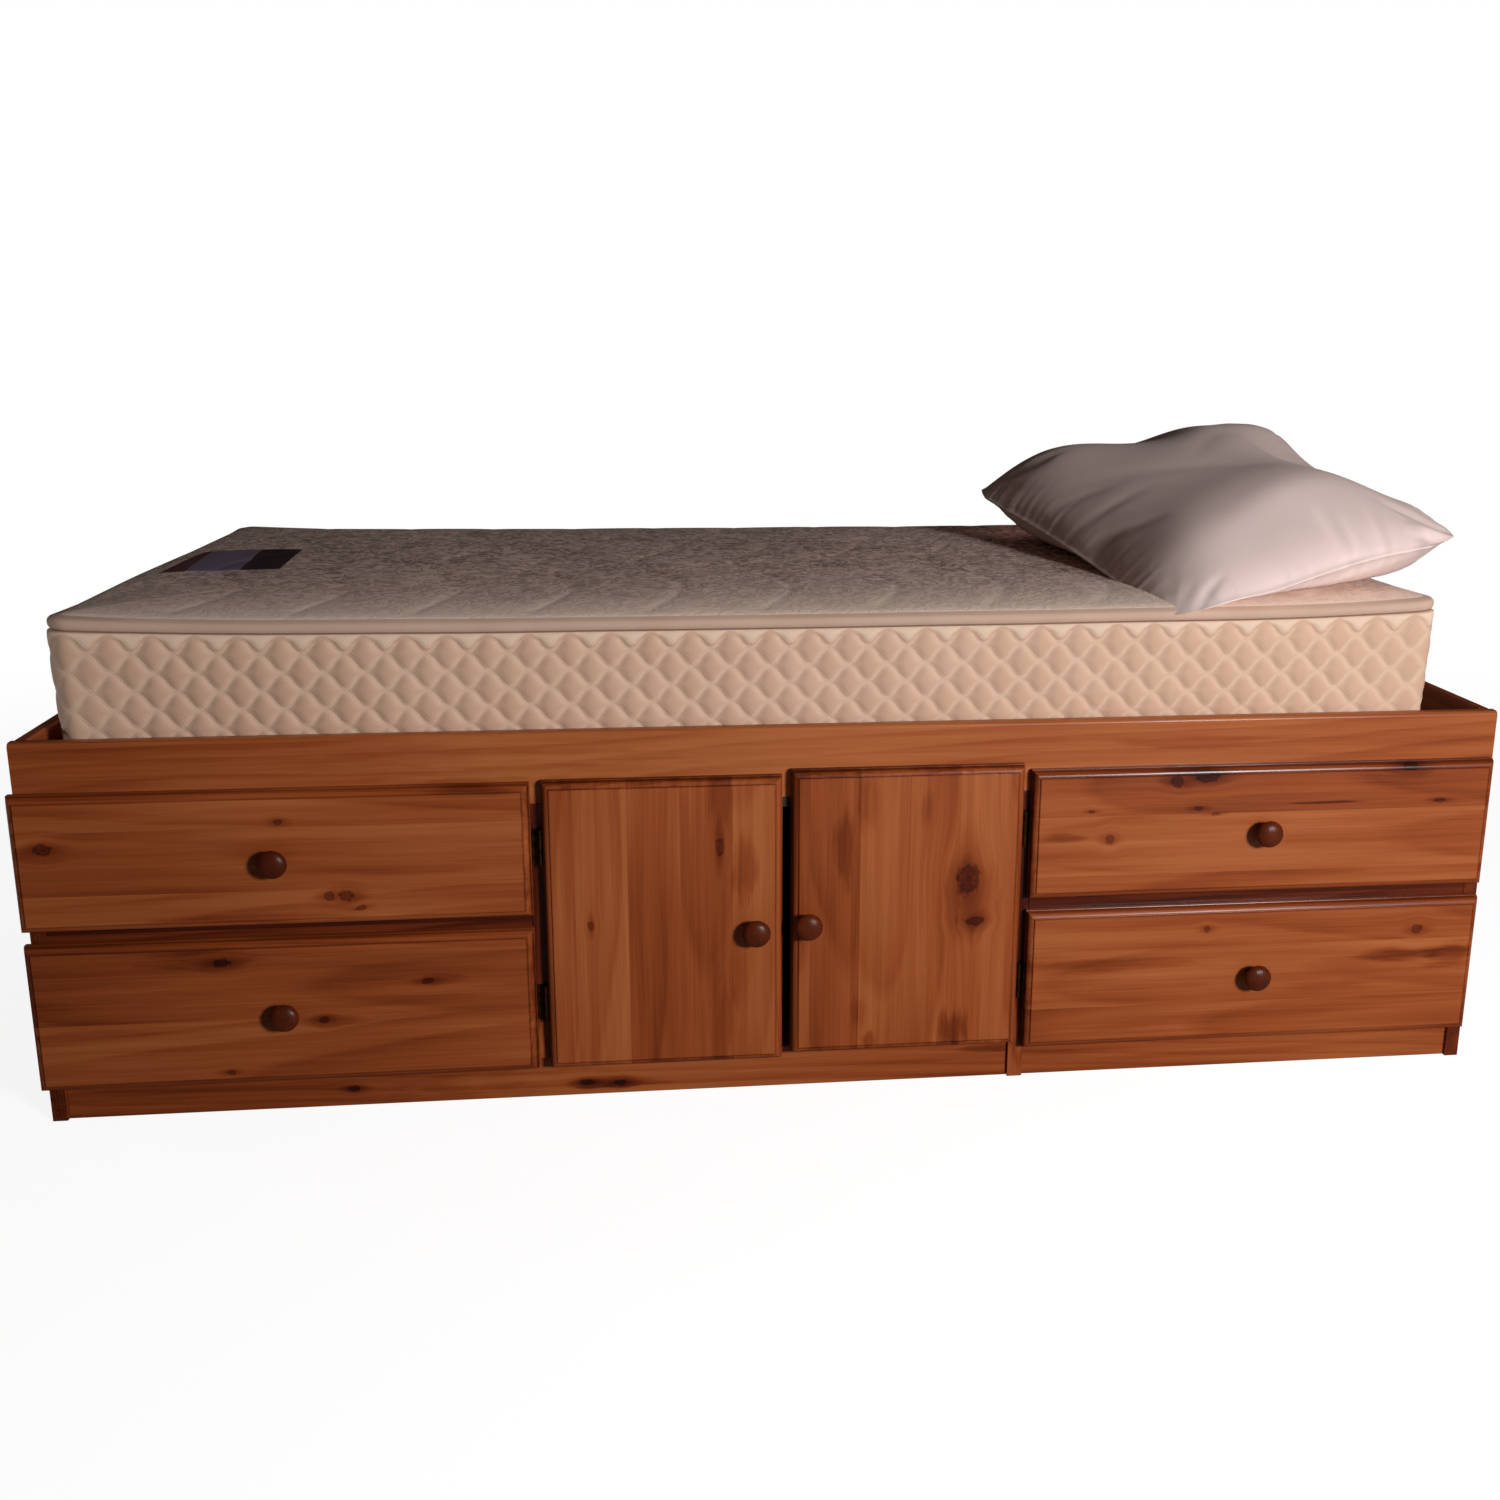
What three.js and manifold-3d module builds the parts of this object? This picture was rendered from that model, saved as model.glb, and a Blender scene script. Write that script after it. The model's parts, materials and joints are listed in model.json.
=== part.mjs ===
// Twin captain's bed in stained knotty pine: a box with rails round a recessed mattress,
// two drawers at each end of the front and a cupboard with two doors between them.
// Millimetres, +Z up. +X runs from the foot end to the head end, -Y is the front.
import * as THREE from 'three';
import { mergeVertices } from 'three/addons/utils/BufferGeometryUtils.js';
import Module from 'manifold-3d';

const wasm = await Module();
wasm.setup();

// The box, outside sizes.
const bedLength = 2040;
const bedDepth = 1035;
const railTop = 540;

// Boards.
const endBoard = 20;
const backBoard = 20;
const railBoard = 20;
const railHeight = 100;
const railRound = 6;
const partitionBoard = 22;
const easedEdge = 1;
const fit = 0.3;

// The fronts lie over the face of the box. Widths run from the foot end.
const footOverhang = 6;
const footFrontWidth = 670.5;
const footGap = 15.7;
const doorWidth = 327;
const doorGap = 12;
const headGap = 10.8;
const headReveal = 4;
const lowerFrontBottom = 52;
const lowerFrontHeight = 211;
const frontsGap = 19;
const upperFrontHeight = 190;
const doorHeight = 421;
const leftDoorBottom = 53.5;
const rightDoorLift = 7;

// The routed edge of every front: a square edge, a small step, a quarter round, a second step.
const frontBoard = 19;
const mouldingWidth = 10;
const mouldingEdge = 8;
const mouldingStep = 1;
const mouldingSegments = 7;

// Stand-off of the backs of the fronts from the face of the box.
const drawerStandOff = 0.5;
const doorStandOff = 2;

// Plinth, drawer rails and cupboard floor.
const plinthTop = 62;
const plinthSetBack = 5;
const plinthBoard = 20;
const drawerRailHeight = 40;
const floorBoard = 18;

// Deck under the mattress.
const deckTop = 495;
const deckBoard = 12;
const cleatDepth = 25;
const cleatHeight = 38;

// Drawer boxes and their centre guides.
const boxDepth = 600;
const boxSideClearance = 6;
const boxTopClearance = 22;
const boxBoard = 12;
const boxEdgeRound = 3;
const bottomPly = 6;
const bottomRaise = 14;
const grooveDepth = 6;
const guideBaseWidth = 44;
const guideBaseHeight = 10;
const guideRibWidth = 19;
const guideRibHeight = 10.6;
const notchSideClearance = 0.6;

// Turned wooden knobs.
const knobDiameter = 39;
const knobNeckDiameter = 20;
const knobLength = 27;
const knobSegments = 20;
const leftKnobInset = 38;
const rightKnobInset = 22.5;
const doorKnobDrop = 9;

// Wrap hinges: the barrel stands in the gap beside the door.
const barrelRadius = 3;
const pinRadius = 1.4;
const boreClearance = 0.3;
const barrelToDoor = 3.4;
const barrelForward = 8;
const hingeHeight = 52;
const hingeFromEnd = 70;
const leafThickness = 1.3;
const doorLeafReach = 26;

// Double magnetic catch under the top rail.
const catchLength = 44;
const catchHeight = 14;
const catchDepth = 19;

// Mattress: its height, and the room round the fullest part of its border.
const mattressHeight = 196;
const mattressFromFootBoard = 33;
const mattressFromHeadBoard = 73;
const mattressFromRail = 11;
const mattressFromBackBoard = 18;
const mattressCorner = 62;
const tapeInset = 4;
const tapeHeight = 9;
const crownRise = 8;
const crownReach = 135;
const borderDraw = 8;

// Pillow. Each corner is placed from the head end of the mattress, from its front and from its crown.
const pillowCorners = {
  frontFoot: [-372, 2, 3],
  frontHead: [38, 48, 74],
  backHead: [42, 770, 203],
  backFoot: [-488, 748, 84],
};
const pillowLoft = 88;
const pillowEdgeDraw = 0.06;

// Places that follow from the sizes above.
const partitionFootX = -footOverhang + footFrontWidth + footGap / 2;
const leftDoorX = -footOverhang + footFrontWidth + footGap;
const rightDoorX = leftDoorX + doorWidth + doorGap;
const rightDoorEnd = rightDoorX + doorWidth;
const partitionHeadX = rightDoorEnd + headGap / 2;
const headFrontX = rightDoorEnd + headGap;
const headFrontWidth = bedLength - headReveal - headFrontX;
const upperFrontBottom = lowerFrontBottom + lowerFrontHeight + frontsGap;
const railBottom = railTop - railHeight;
const drawerRailTop = upperFrontBottom - frontsGap / 2 + drawerRailHeight / 2;
const drawerRailBottom = drawerRailTop - drawerRailHeight;
const deckUnderside = deckTop - deckBoard;
const cleatTop = deckUnderside - fit;
const cleatBottom = cleatTop - cleatHeight;
const backFace = bedDepth - backBoard;
const plinthBack = plinthSetBack + plinthBoard;
const headFace = bedLength - endBoard;
const mattressFoot = endBoard + mattressFromFootBoard;
const mattressHead = headFace - mattressFromHeadBoard;
const mattressFront = railBoard + mattressFromRail;
const mattressLength = mattressHead - mattressFoot;
const mattressDepth = backFace - mattressFromBackBoard - mattressFront;
const frontmost = -(doorStandOff + frontBoard + knobLength);

// Finishes.
function finish(color, roughness, metalness = 0) {
  return new THREE.MeshStandardMaterial({ color, roughness, metalness });
}
const stainedPine = finish(0x8f4f2c, 0.38);
const stainedKnob = finish(0x5c2f1b, 0.38);
const rawPine = finish(0xc79c66, 0.6);
const plywood = finish(0xbf9a6c, 0.7);
const agedBrass = finish(0x4a3a26, 0.45, 1);
const catchPlastic = finish(0x6b4a33, 0.5);
const ticking = finish(0xcdb59f, 0.9);
const pillowCotton = finish(0xc4ada2, 0.9);

const bed = new THREE.Group();

function addMesh(parent, name, geometry, material, x = 0, y = 0, z = 0) {
  const mesh = new THREE.Mesh(geometry, material);
  mesh.name = name;
  mesh.position.set(x, y, z);
  parent.add(mesh);
  return mesh;
}

// Boolean cuts and joins.
function toSolid(geometry) {
  const bare = geometry.clone();
  bare.deleteAttribute('normal');
  bare.deleteAttribute('uv');
  const merged = mergeVertices(bare);
  const vertProperties = new Float32Array(merged.attributes.position.array);
  const triVerts = new Uint32Array(merged.index.array);
  return new wasm.Manifold(new wasm.Mesh({ numProp: 3, vertProperties, triVerts }));
}

function toGeometry(solid) {
  const { vertProperties, triVerts } = solid.getMesh();
  const geometry = new THREE.BufferGeometry();
  geometry.setAttribute('position', new THREE.BufferAttribute(vertProperties, 3));
  geometry.setIndex(new THREE.BufferAttribute(triVerts, 1));
  geometry.computeVertexNormals();
  return geometry;
}

function joined(geometries) {
  const solids = geometries.map(toSolid);
  return toGeometry(solids.reduce((whole, solid) => whole.add(solid)));
}

function cutAway(geometry, cutters) {
  const start = toSolid(geometry);
  return toGeometry(cutters.map(toSolid).reduce((rest, cutter) => rest.subtract(cutter), start));
}

// A square-edged block given by its lowest and highest corners, for panels and for cutting notches.
function block(low, high) {
  const size = high.map((value, i) => value - low[i]);
  const geometry = new THREE.BoxGeometry(...size);
  return geometry.translate(low[0] + size[0] / 2, low[1] + size[1] / 2, low[2] + size[2] / 2);
}

// An outline pushed along X, Y or Z. The outline is in (y, z) for X, (x, z) for Y and (x, y) for Z.
const pushAxes = {
  x: [new THREE.Vector3(0, 1, 0), new THREE.Vector3(0, 0, 1), new THREE.Vector3(1, 0, 0)],
  y: [new THREE.Vector3(1, 0, 0), new THREE.Vector3(0, 0, 1), new THREE.Vector3(0, -1, 0)],
  z: [new THREE.Vector3(1, 0, 0), new THREE.Vector3(0, 1, 0), new THREE.Vector3(0, 0, 1)],
};

function pushed(axis, shape, start, end, curveSegments = 5) {
  const outline = Array.isArray(shape)
    ? new THREE.Shape(shape.map(([a, b]) => new THREE.Vector2(a, b)))
    : shape;
  const depth = end - start;
  const geometry = new THREE.ExtrudeGeometry(outline, { depth, bevelEnabled: false, curveSegments });
  geometry.translate(0, 0, axis === 'y' ? -end : start);
  return geometry.applyMatrix4(new THREE.Matrix4().makeBasis(...pushAxes[axis]));
}

// A rectangle with its four corners eased, as a planed board has.
function easedRectangle([a0, a1], [b0, b1], ease = easedEdge) {
  return [
    [a0 + ease, b0], [a1 - ease, b0], [a1, b0 + ease], [a1, b1 - ease],
    [a1 - ease, b1], [a0 + ease, b1], [a0, b1 - ease], [a0, b0 + ease],
  ];
}

// A board with its grain, and its eased edges, along one axis.
function board(axis, xs, ys, zs) {
  const sections = { x: [ys, zs, xs], y: [xs, zs, ys], z: [xs, ys, zs] };
  const [first, second, run] = sections[axis];
  return pushed(axis, easedRectangle(first, second), run[0], run[1]);
}

// A board standing on edge whose top edge is rounded over.
function roundedTopSection([a0, a1], [b0, b1], radius) {
  const shape = new THREE.Shape();
  shape.moveTo(a0, b0);
  shape.lineTo(a1, b0);
  shape.lineTo(a1, b1 - radius);
  shape.absarc(a1 - radius, b1 - radius, radius, 0, Math.PI / 2, false);
  shape.lineTo(a0 + radius, b1);
  shape.absarc(a0 + radius, b1 - radius, radius, Math.PI / 2, Math.PI, false);
  shape.lineTo(a0, b0);
  return shape;
}

// A closed skin over a stack of rings with the same number of points, listed anticlockwise
// as seen from the last ring, and closed at both ends by a fan round a centre point.
function skinned(rings, startCentre, endCentre) {
  const count = rings[0].length;
  const positions = rings.flat().concat([startCentre, endCentre]).flatMap((p) => [p.x, p.y, p.z]);
  const startIndex = rings.length * count;
  const endIndex = startIndex + 1;
  const last = (rings.length - 1) * count;
  const index = [];
  for (let j = 0; j < count; j += 1) {
    const next = (j + 1) % count;
    index.push(startIndex, next, j);
    index.push(endIndex, last + j, last + next);
    for (let i = 0; i < rings.length - 1; i += 1) {
      const low = i * count;
      const high = low + count;
      index.push(low + j, low + next, high + next);
      index.push(low + j, high + next, high + j);
    }
  }
  const geometry = new THREE.BufferGeometry();
  geometry.setAttribute('position', new THREE.Float32BufferAttribute(positions, 3));
  geometry.setIndex(index);
  geometry.computeVertexNormals();
  return geometry;
}

// Carcass.
function addCarcass() {
  const rearCleatFront = backFace - fit - cleatDepth;
  const frontCleatBack = railBoard + fit + cleatDepth;
  const inner = [endBoard + fit, headFace - fit];
  const slotLow = [-endBoard, -railBoard, railBottom - fit];
  const slotHigh = [2 * endBoard, railBoard + fit, railTop + railBoard];
  const endSection = roundedTopSection([0, endBoard], [0, railTop], railRound);
  const endPanel = cutAway(pushed('y', endSection, 0, bedDepth), [block(slotLow, slotHigh)]);
  addMesh(bed, 'end_panel_foot', endPanel, stainedPine);
  addMesh(bed, 'end_panel_head', endPanel, stainedPine, headFace);
  const backSection = roundedTopSection([backFace, bedDepth], [0, railTop], railRound);
  addMesh(bed, 'back_panel', pushed('x', backSection, ...inner), stainedPine);
  const railSection = roundedTopSection([0, railBoard], [railBottom, railTop], railRound);
  addMesh(bed, 'top_rail', pushed('x', railSection, 0, bedLength), stainedPine);

  // Each partition is notched for the top rail and both cleats. The foot one also stands
  // behind the long plinth, and the head one runs down to the floor between the two plinths.
  const partitionTop = deckUnderside - fit;
  const footCorner = [[plinthBack + fit, 0], [plinthBack + fit, plinthTop + fit], [0, plinthTop + fit]];
  const headCorner = [[0, 0]];
  const upperEdge = [
    [0, railBottom - fit], [railBoard + fit, railBottom - fit], [railBoard + fit, cleatBottom - fit],
    [frontCleatBack + fit, cleatBottom - fit], [frontCleatBack + fit, partitionTop],
    [rearCleatFront - fit, partitionTop], [rearCleatFront - fit, cleatBottom - fit],
    [backFace - fit, cleatBottom - fit], [backFace - fit, 0],
  ];
  const half = partitionBoard / 2;
  const partition = (corner) => pushed('x', [...corner, ...upperEdge], -half, half);
  addMesh(bed, 'partition_foot', partition(footCorner), stainedPine, partitionFootX);
  addMesh(bed, 'partition_head', partition(headCorner), stainedPine, partitionHeadX);

  const plinthYs = [plinthSetBack, plinthBack];
  const plinthZs = [0, plinthTop];
  const longPlinth = [endBoard + fit, partitionHeadX - half - fit];
  const shortPlinth = [partitionHeadX + half + fit, headFace - fit];
  addMesh(bed, 'plinth_long', board('x', longPlinth, plinthYs, plinthZs), stainedPine);
  addMesh(bed, 'plinth_short', board('x', shortPlinth, plinthYs, plinthZs), stainedPine);

  const drawerRailZs = [drawerRailBottom, drawerRailTop];
  const footRail = [endBoard + fit, partitionFootX - half - fit];
  addMesh(bed, 'drawer_rail_foot', board('x', footRail, [0, railBoard], drawerRailZs), stainedPine);
  addMesh(bed, 'drawer_rail_head', board('x', shortPlinth, [0, railBoard], drawerRailZs), stainedPine);

  const cupboard = [partitionFootX + half + fit, partitionHeadX - half - fit];
  const floorYs = [plinthBack + fit, backFace - fit];
  const floorZs = [plinthTop - floorBoard, plinthTop];
  addMesh(bed, 'cupboard_floor', board('x', cupboard, floorYs, floorZs), rawPine);

  const cleatZs = [cleatBottom, cleatTop];
  const frontCleat = board('x', inner, [railBoard + fit, frontCleatBack], cleatZs);
  const backCleat = board('x', inner, [rearCleatFront, backFace - fit], cleatZs);
  addMesh(bed, 'deck_cleat_front', frontCleat, rawPine);
  addMesh(bed, 'deck_cleat_back', backCleat, rawPine);

  // Three deck boards meet over the middle of each partition.
  const deckXs = {
    deck_foot: [endBoard + fit, partitionFootX - fit / 2],
    deck_middle: [partitionFootX + fit / 2, partitionHeadX - fit / 2],
    deck_head: [partitionHeadX + fit / 2, headFace - fit],
  };
  for (const [name, xs] of Object.entries(deckXs)) {
    const deck = board('y', xs, [railBoard + fit, backFace - fit], [deckUnderside, deckTop]);
    addMesh(bed, name, deck, plywood);
  }
}

// The routed front of a drawer or door. Its lower left back corner is at the origin.
function mouldedFront(width, height) {
  const radius = mouldingWidth - mouldingStep;
  const roundBase = frontBoard - mouldingStep - radius;
  const profile = [[0, 0], [0, mouldingEdge], [mouldingStep, mouldingEdge]];
  for (let i = 0; i <= mouldingSegments; i += 1) {
    const angle = (i / mouldingSegments) * (Math.PI / 2);
    const inset = mouldingWidth - radius * Math.cos(angle);
    profile.push([inset, roundBase + radius * Math.sin(angle)]);
  }
  profile.push([mouldingWidth, frontBoard]);
  const rings = profile.map(([inset, forward]) => [
    new THREE.Vector3(inset, -forward, inset),
    new THREE.Vector3(width - inset, -forward, inset),
    new THREE.Vector3(width - inset, -forward, height - inset),
    new THREE.Vector3(inset, -forward, height - inset),
  ]);
  const middle = (forward) => new THREE.Vector3(width / 2, -forward, height / 2);
  return skinned(rings, middle(0), middle(frontBoard));
}

// A turned mushroom knob, foot at the origin, facing -Y.
function turnedKnob() {
  const neck = knobNeckDiameter / 2;
  const rim = knobDiameter / 2;
  const rimHeight = knobLength * 0.62;
  const profile = new THREE.Path();
  profile.moveTo(0, 0);
  profile.lineTo(neck + 1, 0);
  profile.lineTo(neck + 1, 2);
  profile.bezierCurveTo(neck - 3, knobLength * 0.2, neck - 3, knobLength * 0.36, rim - 3, rimHeight - 4);
  profile.quadraticCurveTo(rim, rimHeight - 2, rim, rimHeight);
  profile.bezierCurveTo(rim, rimHeight + 4, rim * 0.72, knobLength, 0, knobLength);
  const points = profile.getPoints(4);
  points[0].x = 0;
  points[points.length - 1].x = 0;
  return new THREE.LatheGeometry(points, knobSegments).rotateX(Math.PI);
}
const knob = turnedKnob();

// One drawer: a routed front, a box with its bottom in grooves, and a back notched for the guide.
// The guide is a base with a rib, fixed behind the front rail and run back to the back panel.
function addDrawer(place, front, bay, supportTop, openingTop, guideFront) {
  const name = `${place}_drawer`;
  const drawer = new THREE.Group();
  const boxBottom = supportTop + fit;
  const boxTop = openingTop - boxTopClearance;
  const boxXs = [bay[0] + boxSideClearance, bay[1] - boxSideClearance];
  const boxFront = -drawerStandOff + fit;
  const boxBack = boxFront + boxDepth;
  const centreX = (bay[0] + bay[1]) / 2;
  const grooveZs = [bottomRaise, bottomRaise + bottomPly + 2 * fit];
  const height = boxTop - boxBottom;

  const panel = mouldedFront(front.width, front.height);
  addMesh(drawer, `${name}_front`, panel, stainedPine, front.x, -drawerStandOff, front.z);

  // The side's section: the inner face is at x = 0, with the groove cut into it.
  const sideSection = (out) => {
    const shape = new THREE.Shape();
    const outer = out * boxBoard;
    const round = out * boxEdgeRound;
    shape.moveTo(0, 0);
    shape.lineTo(outer, 0);
    shape.lineTo(outer, height - boxEdgeRound);
    shape.quadraticCurveTo(outer, height, outer - round, height);
    shape.lineTo(round, height);
    shape.quadraticCurveTo(0, height, 0, height - boxEdgeRound);
    shape.lineTo(0, grooveZs[1]);
    shape.lineTo(out * grooveDepth, grooveZs[1]);
    shape.lineTo(out * grooveDepth, grooveZs[0]);
    shape.lineTo(0, grooveZs[0]);
    shape.lineTo(0, 0);
    return shape;
  };
  const leftInner = boxXs[0] + boxBoard;
  const rightInner = boxXs[1] - boxBoard;
  const leftSide = pushed('y', sideSection(-1), boxFront, boxBack, 2);
  const rightSide = pushed('y', sideSection(1), boxFront, boxBack, 2);
  addMesh(drawer, `${name}_left_side`, leftSide, rawPine, leftInner, 0, boxBottom);
  addMesh(drawer, `${name}_right_side`, rightSide, rawPine, rightInner, 0, boxBottom);

  const backFront = boxBack - boxBoard;
  const backSection = [
    [backFront, 0], [boxBack, 0], [boxBack, height], [backFront, height],
    [backFront, grooveZs[1]], [backFront + grooveDepth, grooveZs[1]],
    [backFront + grooveDepth, grooveZs[0]], [backFront, grooveZs[0]],
  ];
  const notchHalf = guideRibWidth / 2 + notchSideClearance;
  const notchLow = [-notchHalf, backFront - boxBoard, -boxBoard];
  const notchHigh = [notchHalf, boxBack + boxBoard, guideRibHeight];
  const backSpan = [leftInner + fit - centreX, rightInner - fit - centreX];
  const back = cutAway(pushed('x', backSection, ...backSpan), [block(notchLow, notchHigh)]);
  addMesh(drawer, `${name}_back`, back, rawPine, centreX, 0, boxBottom);

  const plySlack = grooveDepth - fit;
  const plyXs = [leftInner - plySlack, rightInner + plySlack];
  const plyZs = [grooveZs[0] + fit, grooveZs[1] - fit];
  const ply = block([plyXs[0], boxFront, plyZs[0]], [plyXs[1], backFront + plySlack, plyZs[1]]);
  addMesh(drawer, `${name}_bottom`, ply, plywood, 0, 0, boxBottom);

  const knobZ = front.z + front.height / 2;
  const knobY = -drawerStandOff - frontBoard - fit;
  addMesh(drawer, `${name}_knob`, knob, stainedKnob, front.x + front.width / 2, knobY, knobZ);
  bed.add(drawer);

  const base = guideBaseWidth / 2;
  const rib = guideRibWidth / 2;
  const guideSection = [
    [-base, -guideBaseHeight], [base, -guideBaseHeight], [base, 0], [rib, 0],
    [rib, guideRibHeight], [-rib, guideRibHeight], [-rib, 0], [-base, 0],
  ];
  const guide = pushed('y', guideSection, guideFront + fit, backFace - fit);
  addMesh(bed, `guide_${place}`, guide, rawPine, centreX, 0, boxBottom - fit);
}

function addDrawers() {
  const half = partitionBoard / 2;
  const stacks = {
    foot: { x: -footOverhang, width: footFrontWidth, bay: [endBoard, partitionFootX - half] },
    head: { x: headFrontX, width: headFrontWidth, bay: [partitionHeadX + half, headFace] },
  };
  for (const [end, { x, width, bay }] of Object.entries(stacks)) {
    const lower = { x, width, z: lowerFrontBottom, height: lowerFrontHeight };
    const upper = { x, width, z: upperFrontBottom, height: upperFrontHeight };
    addDrawer(`lower_${end}`, lower, bay, plinthTop, drawerRailBottom, plinthBack);
    addDrawer(`upper_${end}`, upper, bay, drawerRailTop, railBottom, railBoard);
  }
}

// Hinge leaves. The pin's axis is at the origin, the door lies towards side * X and the box
// towards +Y. Each leaf is the full height, with its knuckles on the barrel.
function hingeLeaves(side, frameReach) {
  const third = hingeHeight / 3;
  const wall = barrelRadius - leafThickness;
  const faceY = barrelForward - fit;
  const strip = (x0, x1, y0, y1, z0, z1) => {
    const xs = [side * x0, side * x1].sort((a, b) => a - b);
    return pushed('z', [[xs[0], y0], [xs[1], y0], [xs[1], y1], [xs[0], y1]], z0, z1);
  };
  const round = (radius, z0, z1, hole = 0) => {
    const shape = new THREE.Shape().absarc(0, 0, radius, 0, 2 * Math.PI, false);
    if (hole > 0) shape.holes.push(new THREE.Path().absarc(0, 0, hole, 0, 2 * Math.PI, true));
    return pushed('z', shape, z0, z1, 8);
  };
  const frameLeaf = joined([
    strip(-frameReach, -wall, faceY - leafThickness, faceY, 0, hingeHeight),
    strip(-barrelRadius, -wall, 0, faceY, 0, third),
    strip(-barrelRadius, -wall, 0, faceY, 2 * third, hingeHeight),
    round(barrelRadius, 0, third),
    round(barrelRadius, 2 * third, hingeHeight),
    round(pinRadius, 0, hingeHeight),
  ]);
  const doorLeaf = joined([
    strip(wall, doorLeafReach, faceY - leafThickness, faceY, 0, hingeHeight),
    strip(wall + fit, barrelRadius, 0, faceY, third + fit, 2 * third - fit),
    round(barrelRadius, third + fit, 2 * third - fit, pinRadius + boreClearance),
  ]);
  return { frameLeaf, doorLeaf };
}

// A door hung on two hinges, built round its hinge line. side is 1 where the door lies
// towards +X of its hinges and -1 where it lies towards -X.
function addDoor(name, side, edgeX, bottomZ, knobInset, gapBeside) {
  const door = new THREE.Group();
  door.position.set(edgeX - side * barrelToDoor, -barrelForward, bottomZ);
  const panelX = side > 0 ? barrelToDoor : -barrelToDoor - doorWidth;
  const panelY = barrelForward - doorStandOff;
  addMesh(door, `${name}_panel`, mouldedFront(doorWidth, doorHeight), stainedPine, panelX, panelY, 0);
  const knobX = side * (barrelToDoor + doorWidth - knobInset);
  const knobZ = doorHeight / 2 - doorKnobDrop;
  addMesh(door, `${name}_knob`, knob, stainedKnob, knobX, panelY - frontBoard - fit, knobZ);
  const { frameLeaf, doorLeaf } = hingeLeaves(side, gapBeside - barrelToDoor - 2 * fit);
  const heights = { lower: hingeFromEnd, upper: doorHeight - hingeFromEnd - hingeHeight };
  for (const [place, z] of Object.entries(heights)) {
    addMesh(door, `${name}_${place}_frame_leaf`, frameLeaf, agedBrass, 0, 0, z);
    addMesh(door, `${name}_${place}_door_leaf`, doorLeaf, agedBrass, 0, 0, z);
  }
  bed.add(door);
}

function addDoors() {
  addDoor('left_door', 1, leftDoorX, leftDoorBottom, leftKnobInset, footGap);
  addDoor('right_door', -1, rightDoorEnd, leftDoorBottom + rightDoorLift, rightKnobInset, headGap);
  const catchX = (leftDoorX + rightDoorEnd) / 2;
  const catchFront = -doorStandOff + fit;
  const outline = easedRectangle([-catchLength / 2, catchLength / 2], [-catchHeight, 0], 2 * easedEdge);
  const body = pushed('y', outline, catchFront, catchFront + catchDepth);
  addMesh(bed, 'door_catch', body, catchPlastic, catchX, 0, railBottom - fit);
}

// Mattress: flat underside, a piped tape at the bottom and top of a full border, and a low crown.
function roundedOutline(halfX, halfY, radius) {
  const cornerSteps = 6;
  const sideSteps = [8, 5];
  const points = [];
  const corners = [[1, -1], [1, 1], [-1, 1], [-1, -1]];
  corners.forEach(([sx, sy], corner) => {
    const start = (corner - 1) * (Math.PI / 2);
    for (let i = 0; i <= cornerSteps; i += 1) {
      const angle = start + (i / cornerSteps) * (Math.PI / 2);
      const x = sx * (halfX - radius) + radius * Math.cos(angle);
      points.push([x, sy * (halfY - radius) + radius * Math.sin(angle)]);
    }
    const [nx, ny] = corners[(corner + 1) % 4];
    const [fromX, fromY] = points[points.length - 1];
    const toX = nx * (halfX - (ny === sy ? radius : 0));
    const toY = ny * (halfY - (nx === sx ? radius : 0));
    const steps = sideSteps[nx === sx ? 1 : 0];
    for (let i = 1; i < steps; i += 1) {
      const t = i / steps;
      points.push([fromX + (toX - fromX) * t, fromY + (toY - fromY) * t]);
    }
  });
  return points;
}

function addMattress() {
  const top = mattressHeight;
  const tapeRound = tapeHeight / 4;
  const drawn = (share) => borderDraw * share;
  // Each ring of the skin: how far it lies inside the fullest outline, and its height.
  const border = [
    [tapeInset + 3 * tapeHeight, 0],
    [tapeInset + 2 * tapeRound, 0], [tapeInset, tapeRound],
    [tapeInset, tapeHeight - tapeRound], [tapeInset + 2 * tapeRound, tapeHeight],
    [drawn(1), 1.7 * tapeHeight], [drawn(0.2), 0.26 * top], [0, 0.5 * top],
    [drawn(0.2), 0.74 * top], [drawn(1), top - 1.7 * tapeHeight],
    [tapeInset + 2 * tapeRound, top - tapeHeight], [tapeInset, top - tapeHeight + tapeRound],
    [tapeInset, top - tapeRound], [tapeInset + 2 * tapeRound, top],
    [tapeInset + 5 * tapeRound, top - 0.1 * crownRise],
    [0.3 * crownReach, top + 0.45 * crownRise], [0.6 * crownReach, top + 0.8 * crownRise],
    [crownReach, top + crownRise], [2.5 * crownReach, top + crownRise],
  ];
  const rings = border.map(([inset, z]) => {
    const radius = Math.max(mattressCorner - inset, mattressCorner / 3);
    const outline = roundedOutline(mattressLength / 2 - inset, mattressDepth / 2 - inset, radius);
    return outline.map(([x, y]) => new THREE.Vector3(x, y, z));
  });
  const geometry = skinned(rings, new THREE.Vector3(0, 0, 0), new THREE.Vector3(0, 0, top + crownRise));
  const x = mattressFoot + mattressLength / 2;
  const y = mattressFront + mattressDepth / 2;
  addMesh(bed, 'mattress', geometry, ticking, x, y, deckTop + fit);
}

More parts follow.
